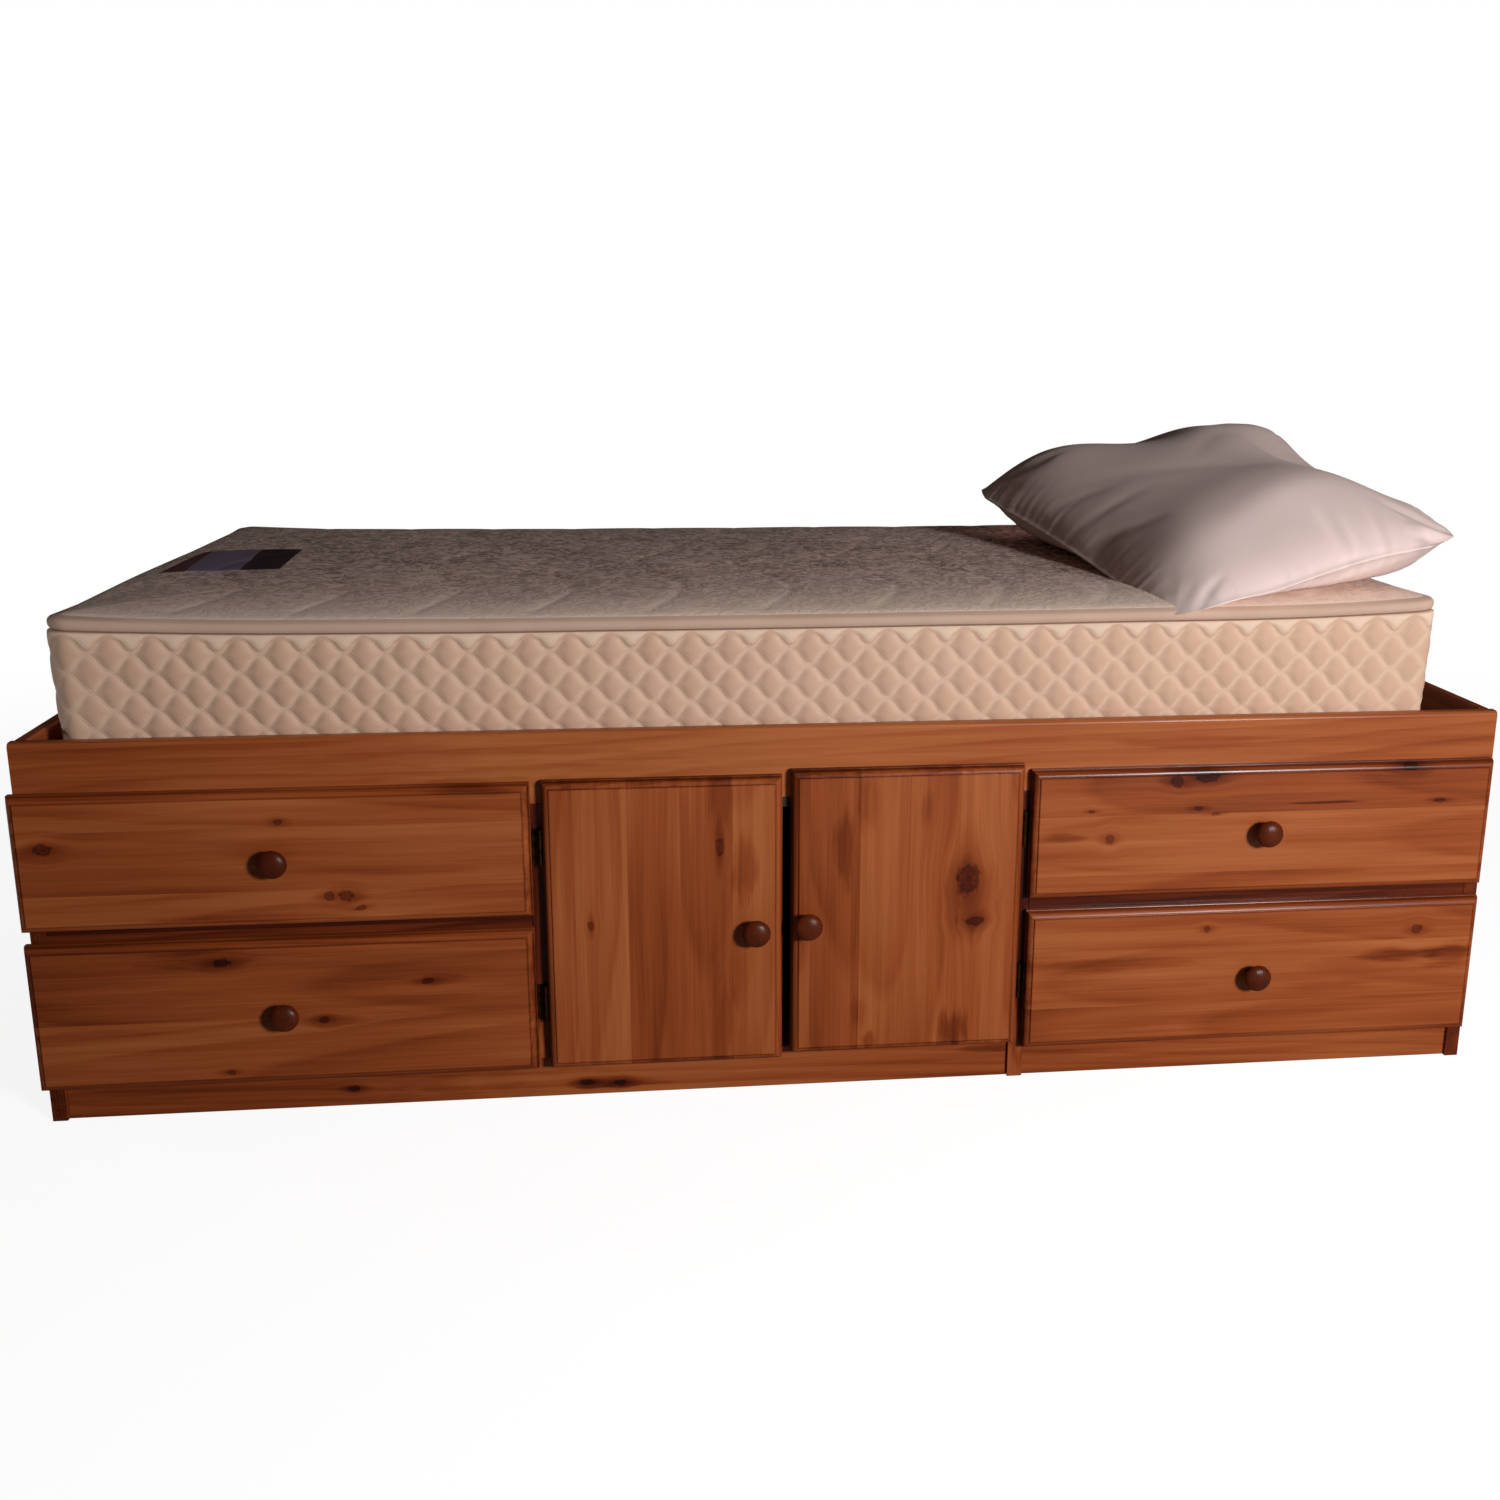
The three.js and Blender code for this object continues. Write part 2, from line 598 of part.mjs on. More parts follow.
// Pillow: four corners, with the two at the head end pushed up, a full middle that rests
// on the mattress and edges that draw in between the corners.
function addPillow() {
  const restZ = deckTop + fit + mattressHeight + crownRise + fit;
  const base = new THREE.Vector3(mattressHead, mattressFront, restZ);
  const corner = (name) => base.clone().add(new THREE.Vector3(...pillowCorners[name]));
  const middle = (u, v) => {
    const a = (1 + u * (1 - pillowEdgeDraw * (1 - v * v))) / 2;
    const b = (1 + v * (1 - pillowEdgeDraw * (1 - u * u))) / 2;
    const front = corner('frontFoot').lerp(corner('frontHead'), a);
    const back = corner('backFoot').lerp(corner('backHead'), a);
    return front.lerp(back, b);
  };
  const fullness = (u, v) => Math.pow((1 - u * u) * (1 - v * v), 0.42);
  const perSide = 10;
  const square = [];
  for (let side = 0; side < 4; side += 1) {
    for (let i = 0; i < perSide; i += 1) {
      const t = -1 + (2 * i) / perSide;
      square.push([[t, -1], [1, t], [-t, 1], [-1, -t]][side]);
    }
  }
  const sizes = [0.3, 0.55, 0.74, 0.87, 0.95, 0.99];
  const ring = (size, upper) => square.map(([u, v]) => {
    const point = middle(u * size, v * size);
    const full = fullness(u * size, v * size);
    const hollow = Math.pow(1 - full, 1.6);
    point.z = upper ? point.z + pillowLoft * full : restZ + (point.z - restZ) * hollow;
    return point;
  });
  const lower = sizes.map((size) => ring(size, false));
  const upper = sizes.map((size) => ring(size, true)).reverse();
  const seam = square.map(([u, v]) => middle(u, v));
  const centre = middle(0, 0);
  const bottom = new THREE.Vector3(centre.x, centre.y, restZ);
  const crown = new THREE.Vector3(centre.x, centre.y, centre.z + pillowLoft);
  addMesh(bed, 'pillow', skinned([...lower, seam, ...upper], bottom, crown), pillowCotton);
}

addCarcass();
addDrawers();
addDoors();
addMattress();
addPillow();

// The origin is on the floor, under the middle of the bed's outside box.
bed.position.set(-(bedLength - footOverhang) / 2, -(bedDepth + frontmost) / 2, 0);
const group = new THREE.Group();
group.add(bed);

export default group;
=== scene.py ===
# %% [markdown]
# # A captain's bed in stained knotty pine
# A captain's bed is a wooden box under a mattress, with drawers and a cupboard in its front.
# The joinery comes from a CAD model and keeps its place and size. This lesson gives it what
# the eye needs: a stain that shows grain and knots, turned knobs, old brass hinges, a quilted
# mattress and a pillow with creases. Units are metres unless a name ends in MM or mm.

# %% Load the joinery
import json
import math
from functools import partial

import bpy
import numpy as np
from mathutils import Matrix, Vector, noise
from mathutils.bvhtree import BVHTree


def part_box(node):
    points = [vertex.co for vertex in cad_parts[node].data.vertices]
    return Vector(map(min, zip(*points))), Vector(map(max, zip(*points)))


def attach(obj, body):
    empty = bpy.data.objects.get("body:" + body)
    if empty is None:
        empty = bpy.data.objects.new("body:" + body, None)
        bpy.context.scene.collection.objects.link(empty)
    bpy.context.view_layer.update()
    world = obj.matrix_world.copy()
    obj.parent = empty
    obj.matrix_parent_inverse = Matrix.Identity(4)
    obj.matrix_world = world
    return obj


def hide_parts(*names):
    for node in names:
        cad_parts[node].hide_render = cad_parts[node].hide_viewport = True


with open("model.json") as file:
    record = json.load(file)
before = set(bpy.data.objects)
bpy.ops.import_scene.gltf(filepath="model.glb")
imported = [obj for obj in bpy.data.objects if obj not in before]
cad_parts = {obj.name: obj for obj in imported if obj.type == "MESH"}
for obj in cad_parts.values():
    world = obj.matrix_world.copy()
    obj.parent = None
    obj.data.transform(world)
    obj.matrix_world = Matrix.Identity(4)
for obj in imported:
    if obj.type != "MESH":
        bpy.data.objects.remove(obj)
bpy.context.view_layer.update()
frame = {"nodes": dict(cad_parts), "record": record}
nodes = frame["nodes"]
MM = 0.001

# %% [markdown]
# The photograph was taken from in front of the cupboard, a little above the pillow, with a
# short lens. The camera is placed from the front corner of the foot end, so it keeps its view
# of the bed wherever the model's origin lies. The small shift is there because the picture is
# a crop of a larger one.

# %% Camera
SENSOR_MM = 36.0
LENS_MM = 34.53
CROP_SHIFT = (-0.0327, -0.0447)
EYE_FROM_CORNER = Vector((0.8318, -1.8882, 1.0462))
YAW, PITCH, ROLL = (math.radians(a) for a in (6.0, -13.2, 0.3))

foot_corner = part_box("end_panel_foot")[0]
camera_data = bpy.data.cameras.new("camera")
camera_data.sensor_width = SENSOR_MM
camera_data.lens = LENS_MM
camera_data.shift_x, camera_data.shift_y = CROP_SHIFT
camera = bpy.data.objects.new("camera", camera_data)
turn = Matrix.Rotation(-YAW, 4, "Z") @ Matrix.Rotation(math.pi / 2 + PITCH, 4, "X")
move = Matrix.Translation(foot_corner + EYE_FROM_CORNER)
camera.matrix_world = move @ turn @ Matrix.Rotation(ROLL, 4, "Z")
bpy.context.scene.collection.objects.link(camera)
bpy.context.scene.camera = camera
print("camera at", [round(v, 3) for v in camera.matrix_world.translation])

# %% [markdown]
# Every material here is a tree of nodes. One function adds a node, sets its properties and
# fills its inputs, either with a number or with the output of another node. It also fills the
# stops of a colour ramp. Colours are written as sRGB hex, the way a colour picker gives them,
# and turned to linear light once.

# %% Helpers for nodes and colours
def add_node(tree, kind, *values, stops=(), blend="LINEAR", **settings):
    """Adds a node and gives back its outputs. A kind may end in an operation. The values fill its
    inputs in order, or one dictionary fills them by name. Only a ramp has stops and a blend."""
    kind, _, operation = kind.partition(" ")
    node = tree.nodes.new(kind if kind.startswith("NodeGroup") else f"ShaderNode{kind}")
    if operation:
        node.operation = operation
    for name, value in settings.items():
        setattr(node, name, value)
    named = values and isinstance(values[0], dict)
    for key, value in (values[0] if named else dict(enumerate(values))).items():
        if isinstance(value, bpy.types.NodeSocket):
            tree.links.new(value, node.inputs[key])
        else:
            node.inputs[key].default_value = value
    if stops:
        node.color_ramp.interpolation = blend
        elements = node.color_ramp.elements
        while len(elements) < len(stops):
            elements.new(1.0)
        for element, (position, colour) in zip(elements, stops):
            element.position = position
            element.color = colour
    return node.outputs


def linear(hex_colour):
    channels = [int(hex_colour[i:i + 2], 16) / 255 for i in (1, 3, 5)]
    return [c / 12.92 if c <= 0.04045 else ((c + 0.055) / 1.055) ** 2.4 for c in channels] + [1.0]


def coloured(stops):
    return [(position, linear(colour)) for position, colour in stops]


def greys(stops):
    return [(position, (level, level, level, 1)) for position, level in stops]


def new_material(name):
    """An empty material, and the function that adds a node to it."""
    material = bpy.data.materials.new(name)
    material.use_nodes = True
    material.node_tree.nodes.clear()
    return material, partial(add_node, material.node_tree)


# %% [markdown]
# A pale room. One strong, small lamp stands in front of the bed, to the right of the camera and
# higher than the mattress, so that edges that face left and down fall dark and the pillow throws
# a shadow, as in the photograph. A weak, wide lamp on the left and a dim, slightly warm world
# fill the shadows. Two more lamps stand low behind the bed and beyond its foot, below the
# mattress top. They light the back and the foot end for other views, and next to nothing that
# the photograph shows. The floor glows nearly white to the camera, so that it keeps the bed's
# soft shadow, and fades to pure white further out.

# %% Lights, world and floor
FLOOR_SIZE = 24.0
FLOOR_DROP = 0.0005
FLOOR_GLOW = 0.88
FADE_FROM, FADE_TO = 1.6, 3.4
WORLD_STRENGTH = 0.035


def area_lamp(name, place, target, size, power):
    data = bpy.data.lights.new(name, "AREA")
    data.shape = "DISK"
    data.size = size
    data.energy = power
    lamp = bpy.data.objects.new(name, data)
    lamp.location = place
    lamp.rotation_euler = (Vector(target) - Vector(place)).to_track_quat("-Z", "Y").to_euler()
    lamp.visible_camera = False
    bpy.context.scene.collection.objects.link(lamp)
    return lamp


lamps = [
    area_lamp("key_lamp", (1.72, -3.2, 1.42), (0.2, -0.4, 0.4), 0.6, 100),
    area_lamp("side_lamp", (-2.4, -2.8, 1.3), (-0.4, -0.3, 0.4), 1.4, 0.7),
    area_lamp("back_lamp", (1.1, 3.0, 0.3), (0.0, 0.5, 0.3), 0.6, 42),
    area_lamp("foot_lamp", (-3.3, 0.5, 0.22), (-1.0, 0.1, 0.25), 0.4, 22),
]

world = bpy.data.worlds.new("room")
world.use_nodes = True
world.node_tree.nodes.clear()
bpy.context.scene.world = world
add = partial(add_node, world.node_tree)
path = add("LightPath")
sees_white = add("Math MAXIMUM", path["Is Camera Ray"], path["Is Transmission Ray"])[0]
soft_light = add("Background", {"Color": linear("#ffe0d0"), "Strength": WORLD_STRENGTH})[0]
white = add("Background", {"Color": linear("#ffffff"), "Strength": 1.0})[0]
mixed = add("MixShader", sees_white, soft_light, white)[0]
add("OutputWorld", mixed)

floor_material, add = new_material("white_floor")
floor_shade = add("BsdfDiffuse", linear("#8c8c8c"))[0]
floor_glow = add("Emission", {"Color": linear("#ffffff"), "Strength": FLOOR_GLOW})[0]
lit = add("AddShader", floor_shade, floor_glow)[0]
far_white = add("Emission", {"Color": linear("#ffffff"), "Strength": 1.0})[0]
reach = add("VectorMath LENGTH", add("TexCoord")["Object"])["Value"]
fade = add(
    "MapRange", {"Value": reach, "From Min": FADE_FROM, "From Max": FADE_TO}, interpolation_type="SMOOTHSTEP"
)[0]
seen = add("MixShader", fade, lit, far_white)[0]
both = add("MixShader", add("LightPath")["Is Camera Ray"], floor_shade, seen)[0]
add("OutputMaterial", both)

floor_mesh = bpy.data.meshes.new("floor")
half = FLOOR_SIZE / 2
corners = [(-half, -half), (half, -half), (half, half), (-half, half)]
floor_mesh.from_pydata([(x, y, -FLOOR_DROP) for x, y in corners], [], [(0, 1, 2, 3)])
floor = bpy.data.objects.new("floor", floor_mesh)
floor.data.materials.append(floor_material)
bpy.context.scene.collection.objects.link(floor)
bpy.context.scene.view_settings.view_transform = "Standard"
print("lamps:", *[f"{lamp.name} {lamp.data.energy:.1f} W" for lamp in lamps])

# %% [markdown]
# Pine is soft and takes stain unevenly. The wide pale early wood of each year drinks it, the
# thin late wood stays as a line, and knots and the grain round them go nearly black. So one
# number, the darkness, is built up from rings, fibres and blotches and then coloured by a
# ramp. A knot bends the rings round itself. That is a group of nodes, used once for each knot:
# it squeezes the coordinate that the rings are drawn from towards the knot's middle. The
# knot's own core is dark, and darkest at its wobbly rim.

# %% Node group: a knot in the grain
KNOT_WOBBLE_MM = 7.0
KNOT_WOBBLE = 1.1
KNOT_GREYS = [(0.0, 0.75), (0.4, 0.45), (0.7, 1.0), (1.0, 0.0)]
KNOT_REACH = 2.1
KNOT_SQUEEZE = 0.9
HALO_STRETCH = (0.26, 0.62, 0.0)


def new_group(name, inputs, outputs):
    """An empty group of nodes, the function that adds a node to it, and its inputs."""
    group = bpy.data.node_groups.new(name, "ShaderNodeTree")
    for direction, sockets in (("INPUT", inputs), ("OUTPUT", outputs)):
        for socket, kind in sockets.items():
            group.interface.new_socket(socket, in_out=direction, socket_type=f"NodeSocket{kind}")
    return group, partial(add_node, group), add_node(group, "NodeGroupInput")


def stretched_noise(add, point, cell_mm, detail):
    """Noise whose cells have this size along, across and through the board."""
    scaled = add("VectorMath DIVIDE", point, cell_mm)[0]
    return add("TexNoise", {"Vector": scaled, "Scale": 1.0, "Detail": detail})


def sizes_away(add, given):
    """Offset from the centre of a knot or patch, the same flat in half sizes, and its length."""
    from_centre = add("VectorMath SUBTRACT", given["Point"], given["Centre"])[0]
    scaled = add("VectorMath DIVIDE", from_centre, given["Size"])[0]
    flat = add("VectorMath MULTIPLY", scaled, (1, 1, 0))[0]
    return from_centre, flat, add("VectorMath LENGTH", flat)["Value"]


knot_group, add, given = new_group(
    "knot",
    {"Point": "Vector", "Core": "Float", "Halo": "Float", "Centre": "Vector", "Size": "Vector"},
    {"Point": "Vector", "Core": "Float", "Halo": "Float"},
)
from_centre, flat, length = sizes_away(add, given)
wobble = add("TexNoise", {"Vector": given["Point"], "Scale": 1 / KNOT_WOBBLE_MM, "Detail": 2.0})[0]
wobble = add("Math MULTIPLY_ADD", wobble, KNOT_WOBBLE, -KNOT_WOBBLE / 2)[0]
away = add("Math ADD", length, wobble)[0]
core = add("ValToRGB", away, stops=greys(KNOT_GREYS))[0]
core = add("Math MAXIMUM", core, given["Core"])[0]
spread = add("Math DIVIDE", length, KNOT_REACH)[0]
spread = add("Math POWER", spread, 2.0)[0]
bell = add("Math MULTIPLY", spread, -1.0)[0]
bell = add("Math EXPONENT", bell)[0]
squeeze = add("Math MULTIPLY", bell, -KNOT_SQUEEZE)[0]
across_only = add("VectorMath MULTIPLY", from_centre, (0, 1, 0))[0]
bent = add("VectorMath SCALE", {0: across_only, "Scale": squeeze})[0]
bent = add("VectorMath ADD", given["Point"], bent)[0]
stretched = add("VectorMath MULTIPLY", flat, HALO_STRETCH)[0]
stretched = add("VectorMath LENGTH", stretched)["Value"]
halo = add(
    "MapRange", {"Value": stretched, "From Min": 1.0, "From Max": 0.0}, interpolation_type="SMOOTHSTEP"
)[0]
halo = add("Math MAXIMUM", halo, given["Halo"])[0]
add("NodeGroupOutput", {"Point": bent, "Core": core, "Halo": halo})
print("knot group:", len(knot_group.nodes), "nodes")

# %% [markdown]
# Where resin has bled or a brush has lingered, the stain leaves a soft dark patch that runs
# out along the grain. The same patches paint shade on the partitions, where they show in the
# shadow between the fronts, and large ones make the foot end of the top rail and plinth darker.
# A patch is a second, simpler group.

# %% Node group: a dark patch
PATCH_CLOUD_MM = (60.0, 9.0, 9.0)
PATCH_CLOUD = 1.5
PATCH_FROM, PATCH_TO = 1.15, 0.35

patch_group, add, given = new_group(
    "dark_patch",
    {"Point": "Vector", "Amount": "Float", "Centre": "Vector", "Size": "Vector", "Strength": "Float"},
    {"Amount": "Float"},
)
length = sizes_away(add, given)[2]
cloud = stretched_noise(add, given["Point"], PATCH_CLOUD_MM, 3.0)[0]
cloud = add("Math MULTIPLY_ADD", cloud, PATCH_CLOUD, -PATCH_CLOUD / 2)[0]
length = add("Math ADD", length, cloud)[0]
soft = add(
    "MapRange", {"Value": length, "From Min": PATCH_FROM, "From Max": PATCH_TO},
    interpolation_type="SMOOTHSTEP",
)[0]
amount = add("Math MULTIPLY", soft, given["Strength"])[0]
amount = add("Math ADD", amount, given["Amount"])[0]
add("NodeGroupOutput", {"Amount": amount})
print("patch group:", len(patch_group.nodes), "nodes")

# %% [markdown]
# The figure is what a saw uncovers. A board's face cuts the tree's yearly rings at a slant, so
# they show as long lines that open into arches where the cut grazes a ring. The group measures
# how far a point is from a made-up heart of the tree behind the board, which wanders a little
# along the grain, and counts rings of real width from there. Panels are glued up from staves,
# and each stave gets a heart of its own.

# %% Node group: the figure of pine
RING_MM = 4.6
RING_GREYS = [(0.0, 0.0), (0.5, 0.18), (0.86, 1.0), (0.99, 0.0)]
HEART_BEHIND_MM = 34.0
HEART_TAPER = 0.010
WANDER_MM = 7.0
WANDER_DEPTH_MM = 1.6 * WANDER_MM
WANDER_LENGTH_MM = (700.0, 240.0, 240.0)
STAVE_SLIDE_MM = (3000, 300, 300)
FIBRE_MM = (150.0, 3.0, 3.0)
BLOTCH_MM = (320.0, 15.0, 15.0)

figure_group, add, given = new_group(
    "pine_figure",
    {"Point": "Vector", "Plain": "Vector", "Stave": "Float", "Seed": "Float"},
    dict.fromkeys(("Late", "Fibre", "Blotch", "Tone", "Cloud"), "Float"),
)
plain = add("SeparateXYZ", given["Plain"])
stave = add("Math DIVIDE", plain["Y"], given["Stave"])[0]
stave = add("Math ADD", stave, given["Seed"])[0]
stave = add("Math FLOOR", stave)[0]
chance = add("TexWhiteNoise", {"W": stave}, noise_dimensions="1D")["Color"]
lot = add("SeparateColor", chance)
slide = add("VectorMath MULTIPLY", chance, STAVE_SLIDE_MM)[0]
moved = add("VectorMath ADD", given["Point"], slide)[0]

wander = add("SeparateColor", stretched_noise(add, moved, WANDER_LENGTH_MM, 1.5)["Color"])
point = add("SeparateXYZ", given["Point"])

middle = add("Math SUBTRACT", stave, given["Seed"])[0]
middle = add("Math ADD", middle, lot["Red"])[0]
middle = add("Math MULTIPLY", middle, given["Stave"])[0]
sideways = add("Math SUBTRACT", point["Y"], middle)[0]
sideways = add("Math MULTIPLY_ADD", wander["Red"], WANDER_MM, sideways)[0]
climb = add("Math MULTIPLY_ADD", point["X"], HEART_TAPER, HEART_BEHIND_MM)[0]
climb = add("Math MULTIPLY_ADD", wander["Green"], WANDER_DEPTH_MM, climb)[0]
behind = add("Math MULTIPLY_ADD", lot["Green"], HEART_BEHIND_MM, climb)[0]
behind = add("Math ADD", behind, point["Z"])[0]
heart = add("CombineXYZ", sideways, behind)[0]
heart = add("VectorMath LENGTH", heart)["Value"]
year = add("Math MULTIPLY", heart, 1 / RING_MM)[0]
year = add("Math FRACT", year)[0]
late = add("ValToRGB", year, stops=greys(RING_GREYS))[0]

fibre = stretched_noise(add, moved, FIBRE_MM, 3.0)[0]
blotch = stretched_noise(add, moved, BLOTCH_MM, 4.0)[0]
made = {"Late": late, "Fibre": fibre, "Blotch": blotch, "Tone": lot["Blue"], "Cloud": wander["Blue"]}
add("NodeGroupOutput", made)
print("figure group:", len(figure_group.nodes), "nodes")

# %% [markdown]
# Now the finished boards. The bed is stained a red honey brown and lacquered to a satin gloss.
# Grain runs the long way of each board, so the material is told which axis that is. End grain
# drinks more stain and turns out darker. The routed edge of a front is darker too, and darkest
# at the two corners of its profile: partly stain that a rag can't reach, partly painted shade.
# A raw board uses the same figure in the pale colours of bare pine.

# %% Material: pine, stained or bare
GRAIN_ORDER = {"x": ("X", "Z", "Y"), "y": ("Y", "Z", "X"), "z": ("Z", "X", "Y")}
STAIN = [(0.0, "#b06639"), (0.3, "#964a23"), (0.55, "#733112"), (0.8, "#4b1808"), (1.0, "#2b0c04")]
BARE = [(0.0, "#dcb987"), (0.3, "#cfa56e"), (0.6, "#b98a55"), (1.0, "#7c5230")]
VENEER = [(0.0, "#d6b582"), (0.4, "#c9a470"), (0.7, "#b48b58"), (1.0, "#8a6238")]
KNOB_STAIN = [(0.0, "#642811"), (0.35, "#4a1b0a"), (0.7, "#321106"), (1.0, "#1e0903")]
EVEN_DARKNESS = 0.20
FIGURE_WEIGHTS = {"Late": 0.13, "Fibre": 0.26, "Blotch": 0.46, "Tone": 0.14, "Cloud": 0.70}
KNOT_WEIGHTS = {"Halo": 0.26, "Core": 0.28}
PATCH_WEIGHT = 0.85
ROUTED_MM = 10.0
ROUTED_WEIGHT = 0.30
ROUTED_GREYS = [(0.0, 0.5), (0.07, 1.0), (0.16, 0.42), (0.40, 0.42), (0.50, 1.0), (0.60, 0.0)]
LACQUER_ROUGHNESS = 0.3
BARE_ROUGHNESS = 0.62


def pine(
    name, grain, colours=STAIN, stave_mm=88.0, seed=0.0, shade=0.0, knots=(), patches=(), routed=None,
    end_grain=0.32,
):
    """Pine with its grain along one axis. Knots are (along, across, half length, half height) in mm
    from the lowest corner of the node called routed, or from the origin, and patches add a strength."""
    material, add = new_material(name)
    in_mm = add("VectorMath SCALE", {0: add("TexCoord")["Object"], "Scale": 1000.0})[0]
    axes = add("SeparateXYZ", in_mm)
    plain = add("CombineXYZ", dict(enumerate(axes[a] for a in GRAIN_ORDER[grain])))[0]
    low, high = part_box(routed) if routed else (Vector(), Vector())
    pick = ["XYZ".index(a) for a in GRAIN_ORDER[grain][:2]]
    origin, extent = [low[i] * 1000 for i in pick], [high[i] * 1000 for i in pick]

    state = {"Point": plain, "Core": 0.0, "Halo": 0.0}
    for along, across, half_length, half_height in knots:
        state["Centre"] = (origin[0] + along, origin[1] + across, 0)
        state["Size"] = (half_length, half_height, 1)
        made = add("Group", state, node_tree=knot_group)
        state = {key: made[key] for key in ("Point", "Core", "Halo")}
    amount = 0.0
    for along, across, half_length, half_height, strength in patches:
        centre = (origin[0] + along, origin[1] + across, 0)
        patch = {"Centre": centre, "Size": (half_length, half_height, 1), "Strength": strength}
        patch |= {"Point": state["Point"], "Amount": amount}
        amount = add("Group", patch, node_tree=patch_group)["Amount"]

    board = {"Point": state["Point"], "Plain": plain, "Stave": stave_mm, "Seed": seed}
    figure = add("Group", board, node_tree=figure_group)
    run = tuple(float(a == GRAIN_ORDER[grain][0]) for a in "XYZ")
    across_cut = add("VectorMath DOT_PRODUCT", add("TexCoord")["Normal"], run)["Value"]
    across_cut = add("Math POWER", across_cut, 4.0)[0]

    noises = sum(weight for key, weight in FIGURE_WEIGHTS.items() if key != "Late")
    darkness = EVEN_DARKNESS + shade - noises / 2
    parts = [(figure[key], weight) for key, weight in FIGURE_WEIGHTS.items()] + [(across_cut, end_grain)]
    parts += [(state[key], weight) for key, weight in KNOT_WEIGHTS.items()] + [(amount, PATCH_WEIGHT)]
    for value, weight in parts:
        darkness = add("Math MULTIPLY_ADD", value, weight, darkness)[0]

    # The routed edge is darker: partly stain that gathers in it, partly painted shade in the corners of its
    # profile.
    if routed:
        centre = [(a + b) / 2 for a, b in zip(origin, extent)]
        half_size = [(b - a) / 2 for a, b in zip(origin, extent)]
        offset = add("VectorMath SUBTRACT", plain, (*centre, 0))[0]
        offset = add("VectorMath ABSOLUTE", offset)[0]
        inside = add("VectorMath SUBTRACT", (*half_size, 0), offset)[0]
        inside = add("SeparateXYZ", inside)
        edge = add("Math MINIMUM", inside["X"], inside["Y"])[0]
        edge = add("Math DIVIDE", edge, 2 * ROUTED_MM)[0]
        profile = add("ValToRGB", edge, stops=greys(ROUTED_GREYS))[0]
        darkness = add("Math MULTIPLY_ADD", profile, ROUTED_WEIGHT, darkness)[0]

    colour = add("ValToRGB", darkness, stops=coloured(colours))[0]
    base = LACQUER_ROUGHNESS if colours in (STAIN, KNOB_STAIN) else BARE_ROUGHNESS
    roughness = add("MapRange", {"Value": figure["Fibre"], "To Min": base - 0.05, "To Max": base + 0.12})[0]
    relief = add("Math MULTIPLY_ADD", figure["Late"], 0.6, figure["Fibre"])[0]
    bump = add("Bump", {"Height": relief, "Strength": 0.25, "Distance": 0.0004})[0]
    shader = add("BsdfPrincipled", {
        "Base Color": colour, "Roughness": roughness, "Normal": bump, "IOR": 1.5, "Specular IOR Level": 0.18,
        "Coat Weight": 0.12 if colours is STAIN else 0.0, "Coat Roughness": 0.2,
    })[0]
    add("OutputMaterial", shader)
    return material


def paint(node_names, material):
    for node_name in node_names:
        slots = nodes[node_name].data.materials
        slots.clear()
        slots.append(material)


# %% [markdown]
# Each front has a character of its own, so each gets its own knots and patches, read off the
# photograph in millimetres from its lower corner at the foot end. On a door the grain stands
# upright, so the first number is a height.

# %% The six fronts
FRONTS = {
    "lower_foot_drawer_front": dict(
        grain="x", seed=3.3, shade=0.11,
        knots=[(524, 144, 9, 5), (255, 181, 13, 7), (255, 20, 7, 5), (384, 92, 8, 6)],
        patches=[(395, 92, 60, 9, 0.20), (545, 146, 34, 8, 0.15), (230, 186, 80, 14, 0.20),
                 (90, 84, 120, 6, 0.12)],
    ),
    "upper_foot_drawer_front": dict(
        grain="x", seed=1.2, shade=0.035,
        knots=[(343, 148, 6, 5), (424, 42, 11, 9), (442, 27, 8, 5), (402, 42, 7, 5), (43, 118, 13, 9)],
        patches=[(424, 40, 40, 20, 0.12), (300, 14, 140, 9, 0.2), (590, 184, 60, 8, 0.2)],
    ),
    "lower_head_drawer_front": dict(
        grain="x", seed=7.7, shade=0.025,
        knots=[(265, 177, 6, 6), (585, 165, 9, 9)],
        patches=[(120, 128, 150, 11, 0.22), (563, 126, 70, 13, 0.34), (640, 122, 40, 22, 0.32),
                 (460, 80, 80, 10, 0.12), (200, 92, 120, 6, 0.1)],
    ),
    "upper_head_drawer_front": dict(
        grain="x", seed=5.4, shade=0.0,
        knots=[(250, 176, 19, 9), (206, 172, 10, 8), (550, 184, 14, 6), (113, 88, 7, 9), (84, 130, 5, 3),
               (240, 131, 8, 4), (265, 122, 7, 3), (598, 133, 9, 4)],
        patches=[(430, 134, 62, 2.2, 0.45), (45, 92, 34, 9, 0.25), (230, 176, 60, 12, 0.18),
                 (550, 178, 40, 10, 0.15)],
    ),
    "left_door_panel": dict(
        grain="z", seed=2.1, stave_mm=72.0, shade=-0.005,
        knots=[(322, 240, 16, 7), (215, 62, 7, 5)],
        patches=[(290, 275, 50, 22, 0.26), (392, 240, 50, 20, 0.2), (60, 240, 90, 20, 0.14),
                 (140, 262, 60, 24, 0.12)],
    ),
    "right_door_panel": dict(
        grain="z", seed=9.6, stave_mm=70.0, shade=0.07,
        knots=[(258, 249, 27, 18), (195, 258, 7, 13)],
        patches=[(310, 74, 70, 15, 0.26), (378, 104, 50, 20, 0.2), (362, 188, 30, 10, 0.16),
                 (30, 232, 34, 26, 0.34), (18, 112, 16, 12, 0.28), (60, 96, 26, 12, 0.14),
                 (225, 252, 75, 34, 0.2)],
    ),
}
for node_name, look in FRONTS.items():
    paint([node_name], pine(f"pine_{node_name}", routed=node_name, **look))
print(len(FRONTS), "fronts with", sum(len(look["knots"]) for look in FRONTS.values()), "knots")

